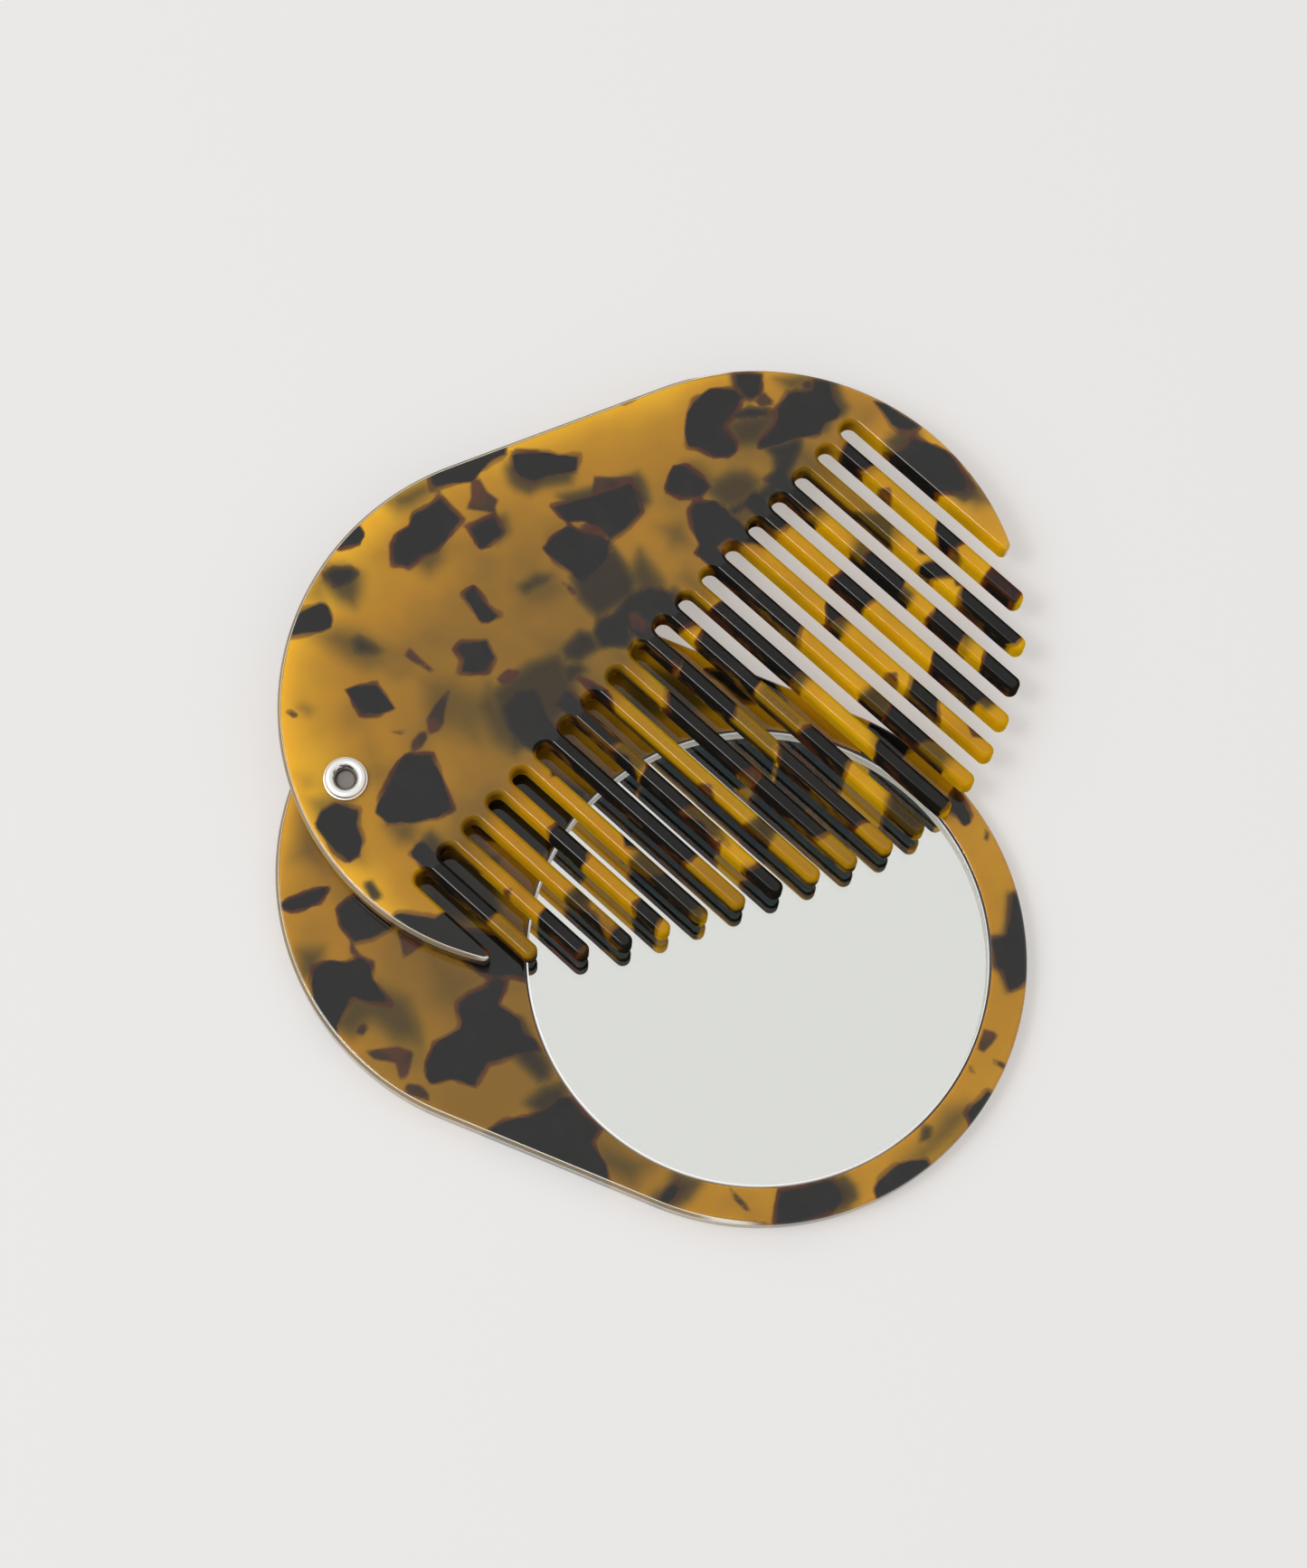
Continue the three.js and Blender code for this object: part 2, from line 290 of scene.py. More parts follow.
# A chip that reaches the face goes nearly through the sheet, down to a foot just above the underside. Some have
# a shoulder, the same outline moved aside a little and set deeper. The deeper a chip lies, the softer it looks.
far_away = 9.0
chip_foot = 0.5
least_foot_share = 0.2
shoulder_share = 0.3
shoulder_depths = (0.8, 1.6)
shoulder_shift = 0.8
field_reach = 2.5
sharp_blur = 0.3
blur_per_depth = 1.0
fade_depth = 1.8

# Painted light: the amber at the edge towards the window is painted glowing, as if lit through. The painted glow
# fades with the distance in from the outline, on the sides that turn away from the window, and with the depth
# under the face.
glow_side = np.array((-0.86, 0.5))
near_glow, near_glow_reach = 0.7, 3.5
far_glow, far_glow_reach = 0.4, 14
glow_turned, glow_turned_share = (-0.5, 5 / 7), (0.15, 1)
glow_under, glow_under_share = (0.1, 1), (1, 0.1)

# The rounding of the left edge is painted pale under the face's rim, as a painted reflection, with a painted
# highlight line along its top. All but the turn is in shares of the rounding.
pale_width = (0.5, 1.5)
pale_top = (0.01, 0.11)
pale_foot = (0.8, 1.2)
pale_turned = (-0.08, 0.32)
plate_pale_side = (-0.925, -0.38)

plate_glow_share = 0.7
ring_glow = 0.42
ring_fade = 12
ring_depth = 1


def chip_fields(points, chips, red_chips, deep_chips, pale_side):
    """For each point of a plate: its distance out of a dark chip and out of a red one, how dark a deep chip makes
    it, and how much painted glow it gets, which is negative on the rounding that is painted pale as a reflection."""
    flat, height = points[:, :2], points[:, 2]
    dark = np.full(len(points), far_away)
    red = np.full(len(points), far_away)
    below = np.zeros(len(points))
    draw = random.Random(11)
    shoulders = []
    for corners in chips:
        if draw.random() < shoulder_share:
            depth = draw.uniform(*shoulder_depths)
            shift = (draw.gauss(0, shoulder_shift), draw.gauss(0, shoulder_shift))
            shoulders.append(("dark", depth, [(x + shift[0], y + shift[1]) for x, y in corners]))
    for kind, depth, corners in (
        [("dark", 0, c) for c in chips] + [("red", 0, c) for c in red_chips]
        + [("dark", d, c) for d, c in deep_chips] + shoulders
    ):
        corners = np.array(corners, float)
        near = ((flat > corners.min(0) - field_reach) & (flat < corners.max(0) + field_reach)).all(1)
        away = outside_distance(flat[near], corners)
        if depth:
            gap = height[near] - (sheet_thickness - depth)
        else:
            gap = chip_foot * draw.uniform(least_foot_share, 1) - height[near]
        field = dark if kind == "dark" else red
        field[near] = np.minimum(field[near], np.maximum(away, gap))
        hidden = np.maximum(gap, 0)
        blur = sharp_blur + blur_per_depth * hidden
        share = np.clip(0.5 - away / blur / 2, 0, 1)
        share = share * share * (3 - 2 * share) * np.exp(-hidden / fade_depth)
        if kind == "dark":
            below[near] = np.maximum(below[near], share * (hidden > 0))
    near_axis = np.clip(flat[:, 0], -half_spacing, half_spacing)
    out = flat - np.stack([near_axis, np.zeros(len(flat))], 1)
    from_axis = np.hypot(*out.T)
    out /= np.maximum(from_axis, 1e-6)[:, None]
    inwards = plate_radius - from_axis
    under = sheet_thickness - height
    glow = near_glow * np.exp(-inwards / near_glow_reach) + far_glow * np.exp(-inwards / far_glow_reach)
    glow *= np.interp(out @ glow_side, glow_turned, glow_turned_share)
    glow *= np.interp(under, glow_under, glow_under_share)
    pale = np.interp(inwards / edge_rounding, pale_width, (1, 0))
    pale *= np.interp(under / edge_rounding, pale_top, (0, 1))
    pale *= np.interp(under / edge_rounding, pale_foot, (1, 0))
    pale *= np.interp(out @ np.array(pale_side), pale_turned, (0, 1))
    return dark, red, below, glow * (1 - pale) - pale


def plate_fields(points):
    """The mirror plate's chips. Its narrow ring has a painted glow all round, as light through the thin amber, and
    the pocket's wall is painted black, as the shade in the gap around the glass.
    """
    dark, red, below, glow = chip_fields(points, plate_chips, plate_red_chips, plate_deep_chips, plate_pale_side)
    from_pocket = np.hypot(points[:, 0] - half_spacing, points[:, 1])
    under = sheet_thickness - points[:, 2]
    on_ring = np.interp(points[:, 0] - half_spacing / 2, (0, ring_fade), (0, 1)) * (under < ring_depth)
    glow = np.where(glow > 0, np.maximum(glow * plate_glow_share, ring_glow * on_ring), glow)
    # Painted shade: the pocket's wall gets the black of a chip's core, for the dark gap around the glass.
    on_wall = (from_pocket < pocket_radius + pocket_edge / 2) & (under > pocket_edge / 4)
    return np.where(on_wall, -1.0, dark), red, below, glow


sharp_corner = 40


def shell_object(name, shell, fields, place):
    """A mesh object in metres from a shell in its own millimetres, with its chips as attributes."""
    points = np.array(shell.points, float)
    mesh = bpy.data.meshes.new(name)
    mesh.from_pydata((place(points) * mm).tolist(), [], shell.faces)
    for key, values in zip(("chip_away", "red_chip_away", "chip_below", "edge_glow"), fields(points)):
        attribute = mesh.attributes.new(key, "FLOAT", "POINT")
        attribute.data.foreach_set("value", values.astype(np.float32))
    mesh.polygons.foreach_set("use_smooth", [True] * len(mesh.polygons))
    mesh.set_sharp_from_angle(angle=math.radians(sharp_corner))
    mesh.validate()
    piece = bpy.data.objects.new(name, mesh)
    bpy.context.scene.collection.objects.link(piece)
    return piece


# The amber body, painted dull where the painted glow is weak, as under the face, and light where it is strong,
# with a haze painted over it in drifts as shade.
amber = (0.50, 0.245, 0.004, 1)
amber_dull_and_shaded = (0.29, 0.148, 0.008, 1)
amber_glowing = (0.84, 0.475, 0.005, 1)
haze_and_shade = (0.17, 0.10, 0.010, 1)
# What a deep chip turns the amber above it to, from its fringe to its middle.
olive = (0.125, 0.076, 0.006, 1)
smoky = (0.045, 0.027, 0.008, 1)
deep_dark = (0.013, 0.012, 0.010, 1)
# The chips at the face, and the rounding of the edge painted pale as a reflection, with a painted highlight line
# along its top.
chip_black = (0.009, 0.0088, 0.008, 1)
chip_mottle = (0.014, 0.012, 0.011, 1)
chip_rim = (0.085, 0.014, 0.005, 1)
chip_red = (0.085, 0.022, 0.012, 1)
red_mottle = (0.028, 0.013, 0.010, 1)
painted_reflection_pale = (0.36, 0.29, 0.19, 1)
painted_highlight_line = (0.85, 0.80, 0.70, 1)
# A pale blue, mixed into the underside's colour as a painted sheen.
painted_sheen_blue = (0.35, 0.50, 0.62, 1)


def add_group(name, inputs, outputs):
    """An empty shader node group with its sockets."""
    group = bpy.data.node_groups.new(name, "ShaderNodeTree")
    for kind, sockets in (("INPUT", inputs), ("OUTPUT", outputs)):
        for socket_name, socket_type, default in sockets:
            socket = group.interface.new_socket(socket_name, in_out=kind, socket_type=socket_type)
            if default is not None:
                socket.default_value = default
    source = group.nodes.new("NodeGroupInput")
    target = group.nodes.new("NodeGroupOutput")
    return group, source, target


def add_node(tree, kind, settings=None, **inputs):
    """A node with its settings and inputs. An input is a value or another node's socket."""
    node = tree.nodes.new(kind)
    for key, value in (settings or {}).items():
        setattr(node, key, value)
    for key, value in inputs.items():
        socket = node.inputs[int(key[1:])] if key[0] == "i" and key[1:].isdigit() else node.inputs[key]
        if isinstance(value, bpy.types.NodeSocket):
            tree.links.new(value, socket)
        else:
            socket.default_value = value
    return node


def add_math(tree, operation, *values, clamp=False):
    """A sum, product or the like, of values and other nodes' sockets."""
    inputs = {f"i{n}": value for n, value in enumerate(values)}
    settings = {"operation": operation, "use_clamp": clamp}
    return add_node(tree, "ShaderNodeMath", settings, **inputs).outputs[0]


def add_mix(tree, factor, first, second):
    """Colour mix: first where factor is 0, second where it is 1."""
    node = add_node(tree, "ShaderNodeMix", {"data_type": "RGBA"}, i0=factor, i6=first, i7=second)
    return node.outputs[2]


def add_step(tree, value, start, end):
    """0 up to start and 1 from end, smooth between them."""
    node = add_node(tree, "ShaderNodeMapRange", {"interpolation_type": "SMOOTHSTEP"},
                    i0=value, i1=start, i2=end)
    return node.outputs[0]


def add_fall(tree, value, start, end):
    """1 up to start and 0 from end, smooth between them."""
    return add_math(tree, "SUBTRACT", 1.0, add_step(tree, value, start, end))


def add_noise(tree, scale, detail):
    """Soft noise between 0 and 1 in the piece's own metres."""
    place = add_node(tree, "ShaderNodeTexCoord").outputs["Object"]
    return add_node(tree, "ShaderNodeTexNoise", {"noise_dimensions": "3D"}, Vector=place, Scale=scale,
                    Detail=detail, Roughness=noise_roughness).outputs["Fac"]


noise_roughness = 0.55
wobble_scale, cloud_scale, smoke_scale, drift_scale = 620.0, 70.0, 260.0, 125.0
wobble_amount = 0.3
cloud_amount = 0.7
sharpest, softest = 0.6, 1.9
haze_and_shade_limit = 0.6
red_strength = 0.92
rim_least, rim_most = 0.55, 0.95
painted_reflection_strength = 0.65
polish_least, polish_spread = 0.025, 0.03

acetate, source, target = add_group(
    "tortoiseshell",
    [("Chip away", "NodeSocketFloat", far_away), ("Red chip away", "NodeSocketFloat", far_away),
     ("Chip below", "NodeSocketFloat", 0.0), ("Edge glow", "NodeSocketFloat", 0.0)],
    [("Color", "NodeSocketColor", None), ("Roughness", "NodeSocketFloat", None)],
)
wobble = add_noise(acetate, wobble_scale, 3.0)
cloud = add_noise(acetate, cloud_scale, 3.0)
smoke = add_noise(acetate, smoke_scale, 2.0)
drift = add_noise(acetate, drift_scale, 1.0)

# The outlines of the chips waver, and are soft in places.
shift = add_math(acetate, "MULTIPLY", add_math(acetate, "SUBTRACT", wobble, 0.5), wobble_amount)
softness = add_math(acetate, "MULTIPLY_ADD", add_step(acetate, smoke, 0.36, 0.62), softest - sharpest, sharpest)
chip_away = add_math(acetate, "ADD", source.outputs["Chip away"], shift)
chip_away = add_math(acetate, "DIVIDE", chip_away, softness)
red_away = add_math(acetate, "ADD", source.outputs["Red chip away"], shift)

# The amber, clouded, painted lighter where the painted glow is strong and darker with a haze in drifts where it is
# weak: painted light and painted shade.
clouds = add_math(acetate, "SUBTRACT", cloud, 0.5)
glow = add_math(acetate, "MULTIPLY_ADD", clouds, cloud_amount, source.outputs["Edge glow"])
body = add_mix(acetate, add_step(acetate, glow, -0.05, 0.4), amber_dull_and_shaded, amber)
body = add_mix(acetate, add_step(acetate, glow, 0.3, 1.0), body, amber_glowing)
unlit = add_math(acetate, "SUBTRACT", haze_and_shade_limit, glow, clamp=True)
haze_and_shade_share = add_math(acetate, "MULTIPLY", add_step(acetate, drift, 0.5, 0.68), unlit)
body = add_mix(acetate, haze_and_shade_share, body, haze_and_shade)

# Deep chips, red chips, and the red rim and black core of the chips at the face.
below = source.outputs["Chip below"]
for begin, full, tone in ((0.02, 0.4, olive), (0.25, 0.65, smoky), (0.5, 0.85, deep_dark)):
    body = add_mix(acetate, add_step(acetate, below, begin, full), body, tone)
red_share = add_math(acetate, "MULTIPLY", add_fall(acetate, red_away, -0.25, 0.2), red_strength)
red_body = add_mix(acetate, add_step(acetate, smoke, 0.4, 0.62), chip_red, red_mottle)
body = add_mix(acetate, red_share, body, red_body)
rim_strength = add_math(acetate, "MULTIPLY_ADD", add_step(acetate, drift, 0.4, 0.58), rim_most - rim_least,
                        rim_least)
rim_share = add_math(acetate, "MULTIPLY", add_fall(acetate, chip_away, 0.08, 0.3),
                     add_fall(acetate, below, 0.3, 0.7))
rim_share = add_math(acetate, "MULTIPLY", rim_share, rim_strength)
body = add_mix(acetate, rim_share, body, chip_rim)
core = add_mix(acetate, add_step(acetate, smoke, 0.45, 0.75), chip_black, chip_mottle)
body = add_mix(acetate, add_fall(acetate, chip_away, -0.2, 0.06), body, core)

# The rounding painted pale as a reflection, and the painted highlight line where it starts.
rounding = source.outputs["Edge glow"]
walls = add_fall(acetate, rounding, -0.8, -0.5)
body = add_mix(acetate, add_math(acetate, "MULTIPLY", walls, painted_reflection_strength), body, painted_reflection_pale)
highlight_share = add_math(acetate, "SUBTRACT", add_fall(acetate, rounding, -0.3, -0.02), walls, clamp=True)
body = add_mix(acetate, highlight_share, body, painted_highlight_line)
acetate.links.new(body, target.inputs["Color"])
polish = add_math(acetate, "MULTIPLY_ADD", cloud, polish_spread, polish_least)
acetate.links.new(polish, target.inputs["Roughness"])

acetate_ior = 1.49
sawn_roughness = 0.4
light_paths_rgb = (1.0, 0.68, 0.16)


def tortoiseshell_material(name, light_path, sawn=False, sheen_share=0.0, shine=0.5):
    """Acetate that light enters, so that it glows where it is thin. It is polished, or dull where it is sawn, and
    a pale blue may be mixed into its colour as a painted sheen."""
    material = bpy.data.materials.new(name)
    material.use_nodes = True
    tree = material.node_tree
    surface = tree.nodes["Principled BSDF"].inputs
    chips = add_node(tree, "ShaderNodeGroup", {"node_tree": acetate})
    for key, socket in (("chip_away", "Chip away"), ("red_chip_away", "Red chip away"),
                        ("chip_below", "Chip below"), ("edge_glow", "Edge glow")):
        attribute = add_node(tree, "ShaderNodeAttribute", {"attribute_name": key})
        tree.links.new(attribute.outputs["Fac"], chips.inputs[socket])
    color = chips.outputs["Color"]
    if sheen_share:
        color = add_mix(tree, sheen_share, color, painted_sheen_blue)
    tree.links.new(color, surface["Base Color"])
    if sawn:
        surface["Roughness"].default_value = sawn_roughness
        surface["Specular IOR Level"].default_value = 0.0
    else:
        tree.links.new(chips.outputs["Roughness"], surface["Roughness"])
        surface["Specular IOR Level"].default_value = shine
    surface["IOR"].default_value = acetate_ior
    surface["Subsurface Weight"].default_value = 1.0
    surface["Subsurface Radius"].default_value = light_paths_rgb
    surface["Subsurface Scale"].default_value = light_path
    return material


plate_light_path = 1.5 * mm
plate_shell = shell_object("mirror_plate_shell", shell, plate_fields, lambda points: points)
plate_shell.data.materials.append(tortoiseshell_material("mirror_plate_acetate", plate_light_path))
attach(plate_shell, "mirror_half")
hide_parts("mirror_plate")


# Comb plate
# A second stadium from the same kind of sheet, sawn into a comb: nineteen slots with round ends run out through
# its long edge, square to a line that leans across the plate, and leave eighteen teeth and a horn at either end.

pivot = Vector(frame["joints"][0]["pos_m"]) / mm
comb_low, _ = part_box("comb_plate")
comb_underside = comb_low.z / mm
open_angle = math.radians(44.1)
line_lean = math.radians(26)
line_rise = 1.9
slot_pitch = 3.82
slot_width = 2.05
slots_per_side = 9
horn_tip_radius = 0.7
tip_draw_in = 1
drawn_in_teeth = 10
comb_hole_radius = 1.6
polished_drop = 0.045
crown_steps = 120
tip_steps = 10
tooth_width = slot_pitch - slot_width
outermost = slots_per_side * slot_pitch + slot_width / 2
near_circle = np.array((-half_spacing * math.cos(line_lean), half_spacing * math.sin(line_lean)))
far_circle = -near_circle


def lower_edge(x, inset):
    """Lower edge of the leaning plate at the abscissa x, drawn in by inset."""
    radius = plate_radius - inset
    along = (x - near_circle[0] + radius * math.sin(line_lean)) / math.cos(line_lean)
    if along < 0:
        return near_circle[1] - math.sqrt(radius ** 2 - (x - near_circle[0]) ** 2)
    if along > 2 * half_spacing:
        return far_circle[1] - math.sqrt(radius ** 2 - (x - far_circle[0]) ** 2)
    return near_circle[1] - along * math.sin(line_lean) - radius * math.cos(line_lean)


def comb_outline(inset):
    """The comb's outline, drawn in by inset, about the plate's centre with the slots running down."""
    left_x = -outermost - horn_tip_radius
    right_x = outermost + horn_tip_radius
    left = np.array((left_x, lower_edge(left_x, horn_tip_radius)))
    right = np.array((right_x, lower_edge(right_x, horn_tip_radius)))
    left_meets = math.atan2(*(left - near_circle)[::-1]) % (2 * math.pi)
    right_meets = math.atan2(*(right - far_circle)[::-1])
    crown = math.pi / 2 - line_lean
    tip = horn_tip_radius - inset
    arcs = [
        arc(left, tip, 2 * math.pi, left_meets, tip_steps),
        arc(near_circle, plate_radius - inset, left_meets, crown, crown_steps),
        arc(far_circle, plate_radius - inset, crown, right_meets, crown_steps),
        arc(right, tip, right_meets, -math.pi, tip_steps),
    ]
    for k in range(slots_per_side, -slots_per_side - 1, -1):
        arcs.append(arc((k * slot_pitch, line_rise), slot_width / 2 + inset, 0, math.pi, 2 * tip_steps))
        if k > -slots_per_side:
            tooth_x = (k - 0.5) * slot_pitch
            drawn = tip_draw_in * max(0, 1 - (k + slots_per_side - 1) / drawn_in_teeth)
            tooth_y = lower_edge(tooth_x, tooth_width / 2 + drawn)
            arcs.append(arc((tooth_x, tooth_y), tooth_width / 2 - inset, 0, -math.pi, 2 * tip_steps))
    return joined(arcs)[::-1]


comb = Shell()
rings = [comb.ring(comb_outline(inset), height) for inset, height in profile]
for below, above in zip(rings, rings[1:]):
    comb.band(below, above)
turned_hole = (pivot_x * math.cos(line_lean), -pivot_x * math.sin(line_lean))
hole_top, hole_bottom = (
    comb.ring(arc(turned_hole, comb_hole_radius, 0, 2 * math.pi, hole_steps)[:-1], height)
    for height in (sheet_thickness, 0)
)
comb.band(hole_top, hole_bottom)
comb.flat(rings[-1], [hole_top], face_spacing, True)
comb.flat(rings[0], [hole_bottom], face_spacing, False)

# Chips in the comb, in millimetres about the plate's centre with its long axis level.
comb_chips = [
    [(-27.4, 24.7), (-26.2, 25.6), (-24.9, 26.6), (-24.1, 26), (-24, 25), (-24.9, 24.3), (-26.9, 24.4)],
    [(-36.4, 17.2), (-34.7, 19.2), (-33.4, 19.5), (-31.1, 19.5), (-30.6, 18.9), (-30.6, 17.5), (-31.1, 16.5),
     (-32.2, 16.4), (-33.8, 16.7)],
    [(-32.2, 9.4), (-31.1, 9.4), (-28.8, 8.8), (-28.3, 7.2), (-28, 5.4), (-29.9, 5.4), (-31.6, 6.1)],
    [(-22.4, 20.4), (-21.7, 22.7), (-20.8, 23.8), (-19.1, 24.1), (-18.3, 25.3), (-16.3, 25.6), (-14.7, 26.1),
     (-14.1, 24.3), (-13.4, 22.7), (-15.2, 21.6), (-17.4, 20.4), (-19.1, 20.4), (-20.8, 19.7), (-21.6, 20.2)],
    [(-15.4, 27.1), (-15.2, 28.5), (-14, 29.4), (-6.4, 29.4), (-6, 28.8), (-6.3, 27.9), (-8.2, 27.6),
     (-9.6, 27.1), (-10.7, 26.4), (-12.7, 26.8)],
    [(-13.2, 21.7), (-10, 21.9), (-9.7, 19.6), (-11.8, 18.9), (-12.9, 18.8)],
    [(-5.9, 27.5), (-5.4, 27.9), (-4.3, 27.5), (-1.8, 26.5), (-0.9, 25.8), (1.2, 25), (0.9, 24.3), (0.1, 23.3),
     (-2.9, 24), (-4.6, 23.8), (-5.7, 24.9), (-6.1, 25.8)],
    [(-3.9, 20.7), (-2.1, 20.4), (0.4, 20.1), (3, 20), (5.2, 19.9), (5.5, 18.9), (5.4, 17.6), (5.2, 16.4),
     (3.4, 15.4), (1.8, 14.9), (0.7, 14.4), (0.3, 16), (-1, 17.7), (-2.1, 18.1), (-2.9, 18.2)],
    [(-6.4, 16.4), (-4.9, 17.4), (-2.9, 17.9), (-1.8, 16.7), (0, 15.6), (0.9, 14.6), (-0.4, 12.8), (-2.1, 11.9),
     (-4.1, 11.1), (-4.6, 12.8), (-5.7, 14.4)],
    [(8.6, 18.1), (9.5, 19.3), (10.4, 20.1), (11.7, 19.6), (12.8, 17.7), (13.2, 16.3), (11.7, 15.7),
     (9.8, 16.3), (8.7, 17.4)],
    [(12.5, 21.5), (13, 23.3), (14, 25.2), (15.1, 26.2), (17.4, 26.9), (18.4, 26.6), (20.1, 25.8), (20.5, 24.6),
     (19, 23.3), (17.3, 22.3), (17.6, 21), (17.9, 20), (17.4, 19), (16.3, 18.8), (14.9, 19.4), (13.8, 20.8)],
    [(20.6, 27.6), (22.1, 27.1), (23.5, 26.3), (22.9, 25.4), (22.4, 24.3), (21.3, 24), (20.6, 24.7),
     (20.3, 26.1)],
    [(23.4, 22.1), (24.7, 22.9), (25.3, 23.5), (26.8, 22.9), (28, 22.7), (28.4, 24), (30.2, 22.9), (29.9, 21.7),
     (29.8, 20), (30, 19.2), (29.2, 18.5), (27.8, 18.6), (26.8, 17.5), (25.7, 17.7), (24.7, 18), (22.4, 18.1),
     (19.9, 18.5), (20.1, 19.2), (21.3, 19.8), (22.6, 20.6), (23.2, 21.2)],
    [(33.8, 19), (34.9, 18.3), (35.9, 17.1), (37.6, 14.6), (37.2, 14.2), (36.7, 14.1), (35.1, 14.7),
     (34.5, 15.6), (34.2, 17.5)],
    [(32.4, 12.6), (34.2, 12.7), (35.2, 12.9), (36.2, 13.7), (37.3, 12.6), (38.3, 11.6), (39, 10.8),
     (39.6, 9.6), (39.9, 7.8), (39.7, 6.4), (39.2, 5.6), (38.4, 5.8), (37.2, 6.3), (35.6, 6.8)],
    [(-40.6, -3.5), (-39.4, -2.3), (-37.7, -2), (-36.9, -2.5), (-35.4, -3.7), (-36.2, -5.2), (-36.3, -7),
     (-37.4, -8.4), (-38.6, -8.6), (-39.6, -7)],
    [(-34, -4.6), (-33, -3.2), (-31.2, -1.6), (-30, -0.4), (-28.6, 0.3), (-26, -0.8), (-25.9, -3),
     (-26.1, -7.3), (-28, -7.6), (-30.6, -7.2), (-33.2, -6.2)],
    [(-35.8, -15.6), (-34.2, -16.4), (-32.2, -17.6), (-30.4, -17.4), (-28.6, -21), (-28.2, -24.6), (-32, -22.4),
     (-35.2, -19.4), (-37.4, -16.4)],
    [(8, 28.8), (8.4, 29.4), (10.4, 29.3), (9, 28.9)],
    [(10, 14.6), (11, 15.4), (13.2, 14.6), (14, 13.3), (14.2, 12.3), (13.4, 11.2), (13.6, 10.2), (11.4, 9.6),
     (10.1, 8), (9.7, 10), (9.6, 12.5)],
    [(-39, 9.4), (-38.5, 9.3), (-38, 8.6), (-38.4, 8.4)],
    [(-16.6, 14.8), (-15, 15.3), (-14.4, 12.6), (-13.4, 11), (-15, 10.7), (-15.8, 11)],
    [(-19.6, 9.3), (-18.6, 9.8), (-15.9, 9), (-15.8, 6.7), (-17.2, 5.6), (-18.6, 6), (-20.1, 6.6),
     (-19.1, 7.8)],
]
comb_red_chips = [
    [(-24.9, 10.7), (-24, 11.3), (-23.7, 10.6), (-22.4, 7.8), (-22.9, 7.7), (-24.5, 9.9)],
    [(-21.6, 5.3), (-22, 4.6), (-23, 3.2), (-23.6, 1.9), (-24.5, 1.3), (-25.6, 1.4), (-25.2, 3.1), (-23.8, 4.3),
     (-22.6, 4.9)],
    [(-29.3, 3.3), (-28.3, 2.9), (-27.6, 2.9), (-28.3, 2.4)],
    [(-27.6, 1.4), (-26.3, 2.1), (-25.6, 1.9), (-25.9, 1), (-26.9, 0.2), (-28.4, 0)],
    [(-11, 26.6), (-10, 26.6), (-9.7, 24.7), (-8.9, 23.5), (-9.5, 22.8), (-9.7, 21.9), (-10.7, 22.6),
     (-12.8, 23.7), (-11.8, 24.6)],
    [(0.6, 20), (1.8, 22.2), (3.4, 21.4), (5.7, 20.6), (5.9, 17.8), (5.4, 16.4), (5, 19.8)],
    [(22.4, 25.6), (23.4, 26.3), (23.2, 25.2), (22.6, 24.2), (21.8, 24)],
    [(38.6, 6.6), (39.9, 7.4), (40.6, 5.6), (39.4, 5.2)],
    [(-2, 17.3), (-1, 17.5), (0, 16.6), (0.4, 15.8), (-0.8, 16.2), (-1.8, 16.8)],
    [(-0.6, 6.2), (0.7, 6.1), (0.9, 4.7), (0.5, 3.2), (-0.8, 4.5)],
    [(-16.6, 4.6), (-15, 5.2), (-13.6, 4.4), (-15, 3.4), (-16.2, 3.6)],
    [(26.9, 23.6), (28, 24), (28.4, 23), (27.2, 22.9)],
    [(21.4, 24), (23, 24.2), (23.6, 22.6), (21.8, 22.8)],
    [(-6, 12.2), (-5.2, 11.6), (-4.8, 10.4), (-5.4, 10.2)],
]
